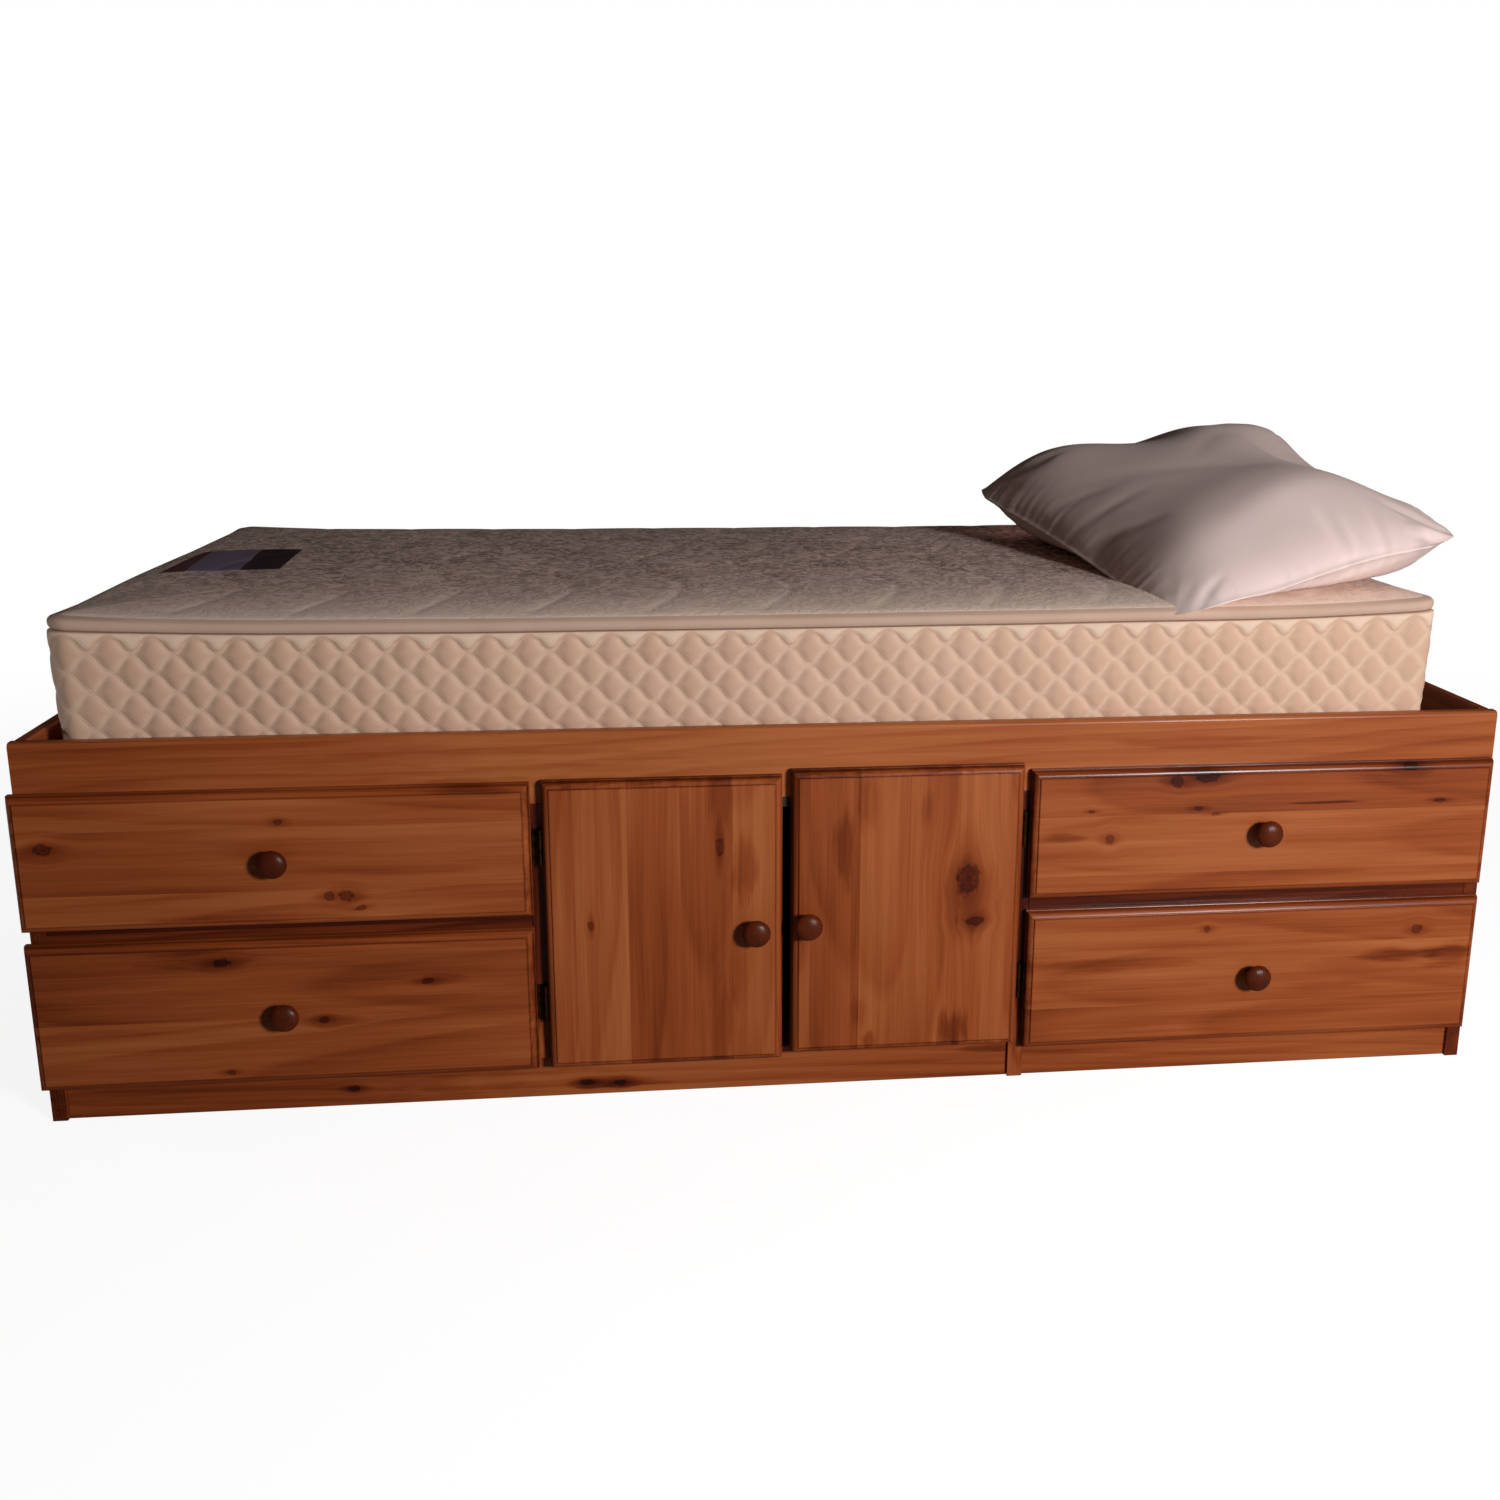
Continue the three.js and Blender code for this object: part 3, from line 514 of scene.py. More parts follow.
# %% The box and the parts inside it
paint(["top_rail"], pine(
    "pine_top_rail", "x", stave_mm=400.0, seed=4.5, shade=-0.08, knots=[(-520, 455, 12, 6)],
    patches=[(-330, 470, 240, 10, 0.15), (560, 505, 120, 12, 0.16), (-100, 500, 200, 8, 0.1),
             (-950, 490, 700, 400, 0.13)],
))
paint(["plinth_long", "plinth_short"], pine(
    "pine_plinth", "x", stave_mm=300.0, seed=8.2,
    knots=[(-612, 26, 8, 5), (-287, 19, 11, 5), (-240, 16, 10, 5)],
    patches=[(-245, 18, 70, 8, 0.3), (310, 45, 60, 8, 0.25), (-850, 40, 560, 400, 0.19)],
))
paint(["end_panel_foot", "end_panel_head"], pine("pine_ends", "y", seed=6.1, shade=0.16))
# Painted shade: the partitions are darkened where they show between the fronts, in the shadow behind them.
paint(["partition_foot", "partition_head"], pine(
    "pine_partitions", "z", seed=2.8, shade=0.1,
    patches=[(275, -345, 250, 70, 0.55), (275, 335, 250, 70, 0.55)],
))
# Painted shade: the drawer rails are made very dark, as the shadow in the gaps between the fronts.
paint(["drawer_rail_foot", "drawer_rail_head"], pine("pine_drawer_rails", "x", seed=1.9, shade=0.55))
paint(["back_panel"], pine("pine_back", "x", seed=0.7, shade=0.05))
side_boards = [n for n in nodes if n.endswith("_side") or n.startswith("guide_")]
paint(side_boards, pine("bare_pine_sides", "y", BARE, stave_mm=120.0, seed=3.1))
back_boards = [n for n in nodes if n.endswith("_drawer_back") or n.startswith("deck_cleat")]
paint(back_boards + ["cupboard_floor"], pine("bare_pine_backs", "x", BARE, stave_mm=120.0, seed=5.9))
sheets = [n for n in nodes if n.endswith("_drawer_bottom") or n in ("deck_foot", "deck_middle", "deck_head")]
paint(sheets, pine("birch_ply", "y", VENEER, stave_mm=900.0, seed=1.7, shade=-0.05))
print(len(side_boards) + len(back_boards) + len(sheets), "bare boards and sheets")

# %% [markdown]
# The knobs are turned from the same pine, stained darker, because end grain soaks up more.
# A knob is a profile spun round an axis: a short neck, a hollow, a full rim and a flat dome.
# Spinning a smooth profile in many steps gives a truly round knob, where the CAD one has flats.

# %% Turned knobs
KNOB_SPIN = 48
KNOB_PROFILE_MM = [
    (0.0, 0.0), (11.0, 0.0), (11.0, 1.6), (10.0, 2.6), (8.6, 5.0), (8.4, 7.5), (9.4, 10.2), (12.4, 12.4),
    (16.4, 13.6), (18.6, 14.9), (19.5, 16.8), (19.3, 18.8), (18.2, 21.0), (15.6, 23.4), (11.2, 25.4),
    (5.8, 26.6), (0.0, 27.0),
]
body_of = {n: body for body, members in frame["record"]["behaviour"]["bodies"].items() for n in members}
knob_wood = pine("pine_knobs", "y", KNOB_STAIN, stave_mm=900.0, seed=0.4, end_grain=0.0)


def make_mesh_object(name, vertices, faces, materials):
    mesh = bpy.data.meshes.new(name)
    mesh.from_pydata(vertices, [], faces)
    mesh.validate()
    mesh.polygons.foreach_set("use_smooth", [True] * len(mesh.polygons))
    for material in materials:
        mesh.materials.append(material)
    obj = bpy.data.objects.new(name, mesh)
    bpy.context.scene.collection.objects.link(obj)
    return obj


def spun_knob(name, centre):
    """A knob spun round Y, its foot at centre and its dome towards -Y."""
    vertices = [tuple(centre)]
    for radius, out in KNOB_PROFILE_MM[1:-1]:
        for i in range(KNOB_SPIN):
            angle = 2 * math.pi * i / KNOB_SPIN
            offset = Vector((radius * math.cos(angle), -out, radius * math.sin(angle))) * MM
            vertices.append(tuple(centre + offset))
    vertices.append(tuple(centre + Vector((0, -KNOB_PROFILE_MM[-1][1] * MM, 0))))
    top = len(vertices) - 1
    faces = []
    for i in range(KNOB_SPIN):
        j = (i + 1) % KNOB_SPIN
        faces.append((0, 1 + i, 1 + j))
        faces.append((top, top - KNOB_SPIN + j, top - KNOB_SPIN + i))
        for a in range(1, top - KNOB_SPIN, KNOB_SPIN):
            b = a + KNOB_SPIN
            faces.append((a + i, b + i, b + j, a + j))
    return make_mesh_object(name, vertices, faces, [knob_wood])


knob_nodes = [n for n in nodes if n.endswith("_knob")]
for node_name in knob_nodes:
    low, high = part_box(node_name)
    knob = spun_knob(f"turned_{node_name}", Vector(((low.x + high.x) / 2, high.y, (low.z + high.z) / 2)))
    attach(knob, body_of[node_name])
    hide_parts(node_name)
print(len(knob_nodes), "knobs,", len(knob.data.vertices), "points each")

# %% [markdown]
# The hinges are small brass ones that have gone brown: polished metal underneath, with a
# patina that is duller and darker where fingers never reach. The catch is moulded plastic.

# %% Aged brass and brown plastic
PATINA_GRAIN_MM = 0.5


def patina(name, clean, dull, metallic, roughness, cloud_mm):
    material, add = new_material(name)
    place = add("TexCoord")["Object"]
    cloud = add("TexNoise", {"Vector": place, "Scale": 1 / (cloud_mm * MM), "Detail": 4.0})[0]
    colour = add("ValToRGB", cloud, stops=coloured([(0.35, clean), (0.65, dull)]))[0]
    rough = add("MapRange", {"Value": cloud, "To Min": roughness - 0.1, "To Max": roughness + 0.2})[0]
    grain = add("TexNoise", {"Vector": place, "Scale": 1 / (PATINA_GRAIN_MM * MM), "Detail": 2.0})[0]
    bump = add("Bump", {"Height": grain, "Strength": 0.2, "Distance": 0.0001})[0]
    shader = add("BsdfPrincipled", {
        "Base Color": colour, "Roughness": rough, "Normal": bump, "Metallic": metallic,
    })[0]
    add("OutputMaterial", shader)
    return material


paint([n for n in nodes if n.endswith("_leaf")], patina("aged_brass", "#4a3220", "#22160e", 1.0, 0.5, 7.0))
paint(["door_catch"], patina("brown_plastic", "#26170f", "#1c110b", 0.0, 0.6, 3.0))

# %% [markdown]
# The mattress is a spring unit wrapped in a quilted border, with a quilted panel above and
# below, and a tape sewn over each edge. The quilting matters most: wavy seams, each the mirror
# of its neighbour, pinch the border into rows of padded scales. The shape is a stack of rings
# round the mattress. Each point of a ring is pulled in by its distance to the nearest seam,
# so the padding is real geometry and the lamp shows it.

# %% Mattress: sizes and outline
CROWN_MM = 8.0
END_BULGE_MM = 7.0
CORNER_MM = 32.0
RING_POINTS = 1680

mattress_low, mattress_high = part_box("mattress")
mattress_centre = (mattress_low + mattress_high) / 2
half_x = (mattress_high.x - mattress_low.x) / 2 / MM + END_BULGE_MM
half_y = (mattress_high.y - mattress_low.y) / 2 / MM
mattress_mm = (mattress_high.z - mattress_low.z) / MM - CROWN_MM


def rounded_outline(half_x, half_y, radius, count):
    """Evenly spaced points of a rounded rectangle, their outward normals and how far along they are."""
    straight = [2 * (half_y - radius), 2 * (half_x - radius)] * 2
    arc = math.pi * radius / 2
    perimeter = sum(straight) + 4 * arc
    along = np.arange(count) * perimeter / count
    points, normals = np.zeros((count, 2)), np.zeros((count, 2))
    done = 0.0
    for side, (sx, sy) in enumerate([(1, -1), (1, 1), (-1, 1), (-1, -1)]):
        heading = side * math.pi / 2
        normal = np.array([math.cos(heading), math.sin(heading)])
        tangent = np.array([-normal[1], normal[0]])
        corner = np.array([sx * (half_x - radius), sy * (half_y - radius)])
        on = (along >= done) & (along < done + straight[side])
        points[on] = corner + radius * normal + tangent * (along[on] - done)[:, None]
        normals[on] = normal
        done += straight[side]
        centre = corner + tangent * straight[side]
        on = (along >= done) & (along < done + arc)
        angle = heading + (along[on] - done) / radius
        turned = np.stack([np.cos(angle), np.sin(angle)], axis=1)
        points[on] = centre + radius * turned
        normals[on] = turned
        done += arc
    return points, normals, along, perimeter


outline, outward, along, perimeter = rounded_outline(half_x, half_y, CORNER_MM, RING_POINTS)
print(f"mattress {2 * half_x:.0f} x {2 * half_y:.0f} x {mattress_mm:.0f} mm, {perimeter:.0f} mm round")

# %% Mattress: how far each point is from a seam
TOP_SEAM = 6
SCALE_PITCH_MM = 25.1
SCALE_WIDTH_MM = 54.0
SCALE_SWING_MM = 11.0
SCALE_SQUARENESS = 0.6
SCALE_PHASE_MM = 2.0
SEAM_SOFTNESS_MM = 6.5
PANEL_SEAM_MM = 158.0
PANEL_SWING_MM = 36.0
PANEL_WAVE_MM = 430.0
FAR_MM = 1e3
waves = round(perimeter / SCALE_WIDTH_MM)


def border_seam(k):
    """Height of seam k at every point of the ring, and its slope."""
    turn = 2 * math.pi * waves * (along + SCALE_PHASE_MM) / perimeter
    swing = SCALE_SWING_MM * (-1) ** k / math.tanh(SCALE_SQUARENESS)
    wave = np.tanh(SCALE_SQUARENESS * np.cos(turn))
    slope = swing * (1 - wave ** 2) * SCALE_SQUARENESS * np.sin(turn) * 2 * math.pi * waves / perimeter
    return (k + 0.5) * SCALE_PITCH_MM + swing * wave, slope


def border_seam_distance(height):
    """Distance in mm, for every point of the ring at this height, to the nearest wavy seam."""
    nearest = np.full(len(along), FAR_MM)
    for k in range(-1, TOP_SEAM + 1):
        seam, slope = border_seam(k)
        nearest = np.minimum(nearest, np.abs(height - seam) / np.sqrt(1 + slope ** 2))
    return nearest


def panel_seam_distance(x, y):
    """Distance to the nearest seam of the top panel. These run across the bed in slow waves."""
    shifted = x - PANEL_SWING_MM * np.sin(2 * math.pi * y / PANEL_WAVE_MM)
    return np.abs((shifted / PANEL_SEAM_MM + 0.5) % 1.0 - 0.5) * PANEL_SEAM_MM


def puff(distance, softness):
    """How full the padding is at this distance from a seam: 0 on the seam, towards 1 away from it."""
    return 1 - np.exp(-distance / softness)


# %% [markdown]
# The edge of a used mattress tells its age. The tape stands up at both ends and has been sat
# down along the sides, and the upper corners flare out. The cloth of the top carries painted
# light along the front, and the creases of its seams a painted highlight. So every ring carries
# a padding value for each point, which the fabric reads as a shade: 0 in a seam, 1 on the
# cloth, and more than 1 on the plain band under the tape and where the top is painted lighter.

# %% Mattress: the rings
ROW_MM = 2.9
UNDERSIDE_MM = [(440, 0.0), (300, 0.0), (150, 0.0), (60, 0.0), (24, 0.0), (12, 0.6)]
BORDER_PROFILE_MM = [(19.0, 6.0), (20.5, 4.4), (25, 2.8), (34, 1.5), (48, 0.5), (98, 0.0)]
BORDER_PUFF_MM = 5.3
BORDER_FADE_MM = 12.0
BORDER_MARGIN, MARGIN_FADE_MM = 0.6, 5.0
TAPE_PROFILE_MM = [
    (1.0, 10.5), (2.2, 7.2), (5.0, 4.6), (8.5, 3.6), (12.0, 3.9), (15.0, 5.2), (16.6, 7.0), (18.0, 7.4),
]
TAPE_GROOVE_MM = 16.0
TAPE_PADDING = 0.75
TOP_PROFILE_MM = [
    (10.4, -1.0), (13, 1.2), (20, 3.6), (40, 7.2), (80, 11), (140, 13.5), (220, 15), (320, 15.5), (999, 15.5),
]
EDGE_RISE_MM, EDGE_RISE_REACH_MM = 9.0, 130.0
EDGE_SAG_MM, EDGE_SAG_REACH_MM = 5.0, 300.0
EDGE_INWARD_MM = 160.0
CORNER_PUFF, CORNER_PUFF_REACH_MM = 0.35, 110.0
CORNER_FULL, CORNER_FLARE_MM = 0.7, 7.0
CORNER_TIGHT = 0.9
PANEL_FIRST_MM = [13.0, 16, 20, 27, 35]
PANEL_EVEN_MM, PANEL_STEP_MM, PANEL_LAST_MM = 45, 9.0, 4
PANEL_PUFF_MM, PANEL_SOFTNESS_MM = 1.7, 12.0
PANEL_DIP_MM, PANEL_DIP_FADE_MM = 14, 30
PAINTED_LIGHT_EDGE, PAINTED_LIGHT_EDGE_MM = 0.5, 150.0
SEAM_HIGHLIGHT, SEAM_HIGHLIGHT_MM = 1.5, 400.0


def edge_shift(x, y, inset):
    """How far the edge stands up or is sat down, in mm, less and less away from the tape."""
    away = np.maximum(half_x - np.abs(x), 0)
    rise = EDGE_RISE_MM * np.exp(-away / EDGE_RISE_REACH_MM)
    shift = rise - EDGE_SAG_MM * (1 - np.exp(-away / EDGE_SAG_REACH_MM))
    return shift * np.exp(-np.maximum(inset - PANEL_FIRST_MM[0], 0) / EDGE_INWARD_MM)


def shrunk_outline(inset):
    """The outline drawn in by inset. Its corners get tighter until they are sharp."""
    tight = CORNER_MM * CORNER_TIGHT
    points = outline - outward * np.minimum(inset, tight)[..., None]
    rest = max(float(np.max(inset)) - tight, 0.0)
    if rest > 0:
        limit = np.array([half_x, half_y]) - tight
        points = points * ((limit - rest) / limit)
    return points


rings, paddings = [], []


def add_ring(inset, height, padding):
    inset = np.full(RING_POINTS, 1.0) * inset
    rings.append(np.column_stack([shrunk_outline(inset), np.full(RING_POINTS, 1.0) * height]))
    paddings.append(np.full(RING_POINTS, 1.0) * padding)


tape_shift = edge_shift(outline[:, 0], outline[:, 1], 0.0)
from_corner = np.maximum(half_x - np.abs(outline[:, 0]), half_y - np.abs(outline[:, 1]))
calm = np.clip(from_corner / CORNER_PUFF_REACH_MM, 0, 1)
flare = CORNER_FLARE_MM * (1 - calm)
corner_puff = BORDER_PUFF_MM * (CORNER_PUFF + (1 - CORNER_PUFF) * calm)
# Painted shadow: points in the groove where the tape meets the border get padding 0, so the tape's darker
# seam colour paints a shadow there.
tape = [
    (height, inset, 0.0 if height > TAPE_GROOVE_MM else TAPE_PADDING) for height, inset in TAPE_PROFILE_MM
]
for inset, height in UNDERSIDE_MM:
    add_ring(inset, height, 1.0)
for height, inset, padding in tape:
    add_ring(inset, height, padding)
first_border = len(rings)
border_low = BORDER_PROFILE_MM[0][0]
border_high = mattress_mm - border_low
rows = int((border_high - border_low) / ROW_MM)
for row in range(rows + 1):
    height = border_low + (border_high - border_low) * row / rows
    from_tape = min(height, mattress_mm - height)
    draw = np.interp(from_tape, *zip(*BORDER_PROFILE_MM))
    padded = puff(border_seam_distance(height), SEAM_SOFTNESS_MM)
    near_tape = np.clip((from_tape - border_low) / BORDER_FADE_MM, 0, 1)
    margin = BORDER_MARGIN * np.clip((height - border_seam(TOP_SEAM)[0]) / MARGIN_FADE_MM, 0, 1)
    draw = draw * (1 - CORNER_FULL * (1 - calm)) - flare * height / mattress_mm
    add_ring(
        draw + corner_puff * (1 - padded) * near_tape, height + tape_shift * height / mattress_mm,
        1 - (1 - padded) * near_tape + margin,
    )
last_border = len(rings)
for height, inset, padding in reversed(tape):
    add_ring(inset - flare, mattress_mm - height + tape_shift, padding)
first_panel = len(rings)
for inset in PANEL_FIRST_MM + list(np.arange(PANEL_EVEN_MM, half_y - PANEL_LAST_MM, PANEL_STEP_MM)):
    x, y = shrunk_outline(np.full(RING_POINTS, float(inset))).T
    padded = puff(panel_seam_distance(x, y), PANEL_SOFTNESS_MM)
    dip = np.clip((inset - PANEL_DIP_MM) / PANEL_DIP_FADE_MM, 0, 1) * PANEL_PUFF_MM * (1 - padded)
    height = mattress_mm + np.interp(inset, *zip(*TOP_PROFILE_MM)) - dip + edge_shift(x, y, inset)
    # Painted light: the top's padding rises above 1 towards the front, so its cloth is lighter there.
    wear_and_light = PAINTED_LIGHT_EDGE * np.exp(-(y + half_y) / PAINTED_LIGHT_EDGE_MM)
    # Painted highlight: the seam creases of the top are lighter, most of all near the front.
    seam_highlight = SEAM_HIGHLIGHT * (1 - padded) * np.exp(-(y + half_y) / SEAM_HIGHLIGHT_MM)
    add_ring(inset, height, np.where(inset < PANEL_EVEN_MM, 1.0, padded + seam_highlight) + wear_and_light)
print(len(rings), "rings of", RING_POINTS, "points")

# %% [markdown]
# The cloths are woven. Cotton ticking covers the border, a damask with a swirling motif the
# panels, and a plain ribbon binds the edges. The seams of ticking and damask are painted a
# little lighter, a painted highlight, and those of the tape darker, a painted shadow. A real
# thread is a third of a millimetre wide and wouldn't show, so the threads are drawn far coarser.
# The wave node repeats about every 0.63 units along an axis at a scale of 1, which sets the
# threads about four times weave_mm apart.

# %% Material: woven cloth
WEAVE_COARSER = 6.28
CLOTH_RELIEF = 0.0003
CLOTH_SHEEN = 0.05


def fabric(name, colours, weave_mm, motif_mm=None, painted_seam_light=None, margin=None, roughness=0.8):
    """A woven cloth: threads, an optional damask motif, painted light in its seams and a margin colour."""
    material, add = new_material(name)
    place = add("TexCoord")["Object"]
    motif = mix = add("TexNoise", {"Vector": place, "Scale": 9.0, "Detail": 3.0})[0]
    if motif_mm:
        motif = add("TexNoise", {
            "Vector": place, "Scale": 1 / (motif_mm * MM), "Detail": 5.0, "Distortion": 1.8,
        })[0]
        motif = add(
            "MapRange", {"Value": motif, "From Min": 0.39, "From Max": 0.61}, interpolation_type="SMOOTHSTEP"
        )[0]
        swirl = add("Math MULTIPLY_ADD", motif, 0.5, 0.0)[0]
        mix = add("Math MULTIPLY_ADD", mix, 0.5, swirl)[0]
    colour = add("ValToRGB", mix, stops=coloured([(0.15, colours[0]), (0.85, colours[1])]))[0]
    # Painted light: the seam colour paints a highlight into the seams of ticking and damask, and a shadow
    # into the tape's groove.
    if painted_seam_light:
        padding = add("Attribute", attribute_name="padding")["Fac"]
        seam = add("MapRange", {"Value": padding, "From Min": 0.0, "From Max": 0.75})[0]
        colour = add("Mix", {0: seam, 6: linear(painted_seam_light), 7: colour}, data_type="RGBA")[2]
    # Padding above 1 turns to the margin colour: a plain band on the ticking, and painted light along the
    # front of the damask.
    if margin:
        wear_and_light = add("MapRange", {"Value": padding, "From Min": 1.0, "From Max": 1.5})[0]
        colour = add("Mix", {0: wear_and_light, 6: colour, 7: linear(margin)}, data_type="RGBA")[2]
    threads = add("TexWave", {
        "Vector": place, "Scale": 1 / (weave_mm * MM) / WEAVE_COARSER,
        "Distortion": 3.0, "Detail": 2.0, "Detail Scale": 2.0,
    }, bands_direction="DIAGONAL")["Fac"]
    height = add("Math MULTIPLY_ADD", motif, 3.0, threads)[0]
    bump = add("Bump", {"Height": height, "Strength": 0.35, "Distance": CLOTH_RELIEF})[0]
    rough = add("MapRange", {"Value": motif, "To Min": roughness, "To Max": roughness - 0.16})[0]
    shader = add("BsdfPrincipled", {
        "Base Color": colour, "Roughness": rough, "Normal": bump, "Sheen Weight": CLOTH_SHEEN,
        "Sheen Roughness": 0.45, "IOR": 1.46, "Specular IOR Level": 0.2,
    })[0]
    add("OutputMaterial", shader)
    return material


# The lighter seam colours of ticking and damask are a painted highlight, the darker one of the tape a painted
# shadow.
mattress_cloths = [
    fabric("quilted_ticking", ("#c8a188", "#d4af97"), 1.6, painted_seam_light="#dab9a1", margin="#e2c5ae"),
    # The damask's margin colour is painted light along the front of the top.
    fabric(
        "damask_panel", ("#7c594d", "#ffdaca"), 1.6, motif_mm=20.0, painted_seam_light="#dcbcac", margin="#f2d8c6"
    ),
    fabric("binding_tape", ("#bf9e8a", "#cdae9b"), 1.2, painted_seam_light="#846656"),
]
TICKING, DAMASK, BINDING = range(len(mattress_cloths))
print("cloths:", *[cloth.name for cloth in mattress_cloths])

# %% [markdown]
# Nothing soft is straight. A slow, smooth noise moves the whole skin by a millimetre or two,
# so the tape edge wanders a little as it does on a mattress that has been slept on. The noise
# has a seed, so that it is the same in each run. Faces then join each ring to the next, and
# each face takes the cloth of its ring.

# %% Mattress: skin and place
SAG_CELL_MM = 260.0
SAG_DEPTH_MM = 1.6
SAG_START = Vector((4.0, 0.0, 0.0))
SAG_SEED = 4


def cap(first):
    """Closes a ring whose two long sides face each other, by a strip of faces between them."""
    middle = round((half_y - CORNER_MM) / perimeter * RING_POINTS)
    steps = range(RING_POINTS // 2 + 1)
    pairs = [((middle + i) % RING_POINTS, (middle - i) % RING_POINTS) for i in steps]
    for (a, b), (c, d) in zip(pairs, pairs[1:]):
        yield tuple(first + i for i in dict.fromkeys((a, c, d, b)))


skin = np.vstack(rings)
noise.seed_set(SAG_SEED)
skin += SAG_DEPTH_MM * np.array([noise.noise_vector(Vector(p) / SAG_CELL_MM + SAG_START) for p in skin])
faces, face_rings = [], []
for ring in range(len(rings) - 1):
    a = ring * RING_POINTS
    b = a + RING_POINTS
    for i in range(RING_POINTS):
        j = (i + 1) % RING_POINTS
        faces.append((a + i, a + j, b + j, b + i))
        face_rings.append(ring)
bottom_cap = [tuple(reversed(face)) for face in cap(0)]
top_cap = list(cap((len(rings) - 1) * RING_POINTS))
faces += bottom_cap + top_cap
face_rings += [0] * len(bottom_cap) + [len(rings)] * len(top_cap)
under = len(UNDERSIDE_MM) - 1
cloth_of_ring = [DAMASK] * under + [BINDING] * (first_border - under)
cloth_of_ring += [TICKING] * (last_border - first_border - 1) + [BINDING] * (first_panel - last_border + 1)
cloth_of_ring += [DAMASK] * (len(rings) - first_panel + 1)

base = Vector((mattress_centre.x, mattress_centre.y, mattress_low.z))
mattress = make_mesh_object("quilted_mattress", skin * MM + np.array(base), faces, mattress_cloths)
mattress.data.polygons.foreach_set("material_index", [cloth_of_ring[ring] for ring in face_rings])
padding = mattress.data.attributes.new("padding", "FLOAT", "POINT")
padding.data.foreach_set("value", np.concatenate(paddings).astype(np.float32))
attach(mattress, body_of["mattress"])
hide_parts("mattress")
print(len(mattress.data.polygons), "faces in the mattress")

# %% [markdown]
# A mattress carries a woven label near the foot. Here it is left without any words: three
# plain woven bands. The label is a thin patch, stitched down along its edge, that follows the
# panel under it. A ray is cast down at each of its points to find how high the panel is there.
# Its ribs are drawn coarser than real ones too, nearly 3 mm apart.

# %% Woven label: shape
LABEL_CORNERS_MM = np.array([(39, 334), (211, 352), (193, 586), (36, 573)])
LABEL_THIN_MM, LABEL_THICK_MM = 0.3, 1.0
LABEL_ROUND_MM = 1.5
LABEL_LIFT_MM = 0.15
LABEL_CELL_MM = 5.0
STITCH_MM, STITCH_WIDE_MM, STITCH_DEEP_MM = 4.0, 1.1, 0.55
LABEL_STEPS_MM = [0.0, 0.9, 2.4, STITCH_MM, 5.6, 8.0]
RAY_START_M = 2.0


def joined_sheets(upper, lower):
    """Two grids of points sewn together along their shared edge, as points and faces."""
    wide, deep = upper.shape[:2]
    upper_index = np.arange(wide * deep).reshape(wide, deep)
    lower_index = upper_index.copy()
    inner = lower_index[1:-1, 1:-1]
    lower_index[1:-1, 1:-1] = wide * deep + np.arange(inner.size).reshape(inner.shape)
    points = np.vstack([upper.reshape(-1, 3), lower[1:-1, 1:-1].reshape(-1, 3)])
    faces = []
    for grid, flip in ((upper_index, False), (lower_index, True)):
        for i, j in np.ndindex(wide - 1, deep - 1):
            quad = (grid[i, j], grid[i + 1, j], grid[i + 1, j + 1], grid[i, j + 1])
            faces.append(tuple(int(k) for k in (reversed(quad) if flip else quad)))
    return points, faces


def label_steps(length):
    middle = np.linspace(LABEL_STEPS_MM[-1], length - LABEL_STEPS_MM[-1], round(length / LABEL_CELL_MM))
    return np.concatenate([LABEL_STEPS_MM[:-1], middle, length - np.array(LABEL_STEPS_MM[-2::-1])]) / length


def between_corners(corners, a, b):
    """Points between four corners, at the share a of the way along and b of the way across."""
    near_foot, near_head, far_head, far_foot = corners
    return (near_foot * (1 - a) + near_head * a) * (1 - b) + (far_foot * (1 - a) + far_head * a) * b


label_long = np.linalg.norm(LABEL_CORNERS_MM[1] - LABEL_CORNERS_MM[0])
label_wide = np.linalg.norm(LABEL_CORNERS_MM[3] - LABEL_CORNERS_MM[0])
s, t = np.meshgrid(label_steps(label_long), label_steps(label_wide), indexing="ij")
place = between_corners(LABEL_CORNERS_MM, s[..., None], t[..., None])
panel_tree = BVHTree.FromObject(mattress, bpy.context.evaluated_depsgraph_get())
ground = np.zeros((*s.shape, 3))
for index in np.ndindex(s.shape):
    start = (mattress_low.x + place[index][0] * MM, mattress_low.y + place[index][1] * MM, RAY_START_M)
    ground[index] = panel_tree.ray_cast(Vector(start), Vector((0, 0, -1)))[0]
from_edge = np.minimum(np.minimum(s, 1 - s) * label_long, np.minimum(t, 1 - t) * label_wide)
stitch = np.exp(-((from_edge - STITCH_MM) / STITCH_WIDE_MM) ** 2)
thick = LABEL_THIN_MM + (LABEL_THICK_MM - LABEL_THIN_MM) * np.clip(from_edge / LABEL_ROUND_MM, 0, 1)
upper, lower = ground.copy(), ground.copy()
upper[..., 2] += (thick - STITCH_DEEP_MM * stitch) * MM
lower[..., 2] += LABEL_LIFT_MM * MM
label_points, label_faces = joined_sheets(upper, lower)
print(f"label {label_long:.0f} x {label_wide:.0f} mm, {len(label_faces)} faces")

# %% Woven label: cloth and place
LABEL_BANDS = [(0.0, "#6a4240"), (0.20, "#8a7c92"), (0.66, "#34242e")]
LABEL_WORN = "#8a7678"
LABEL_RIB_MM = 1.4

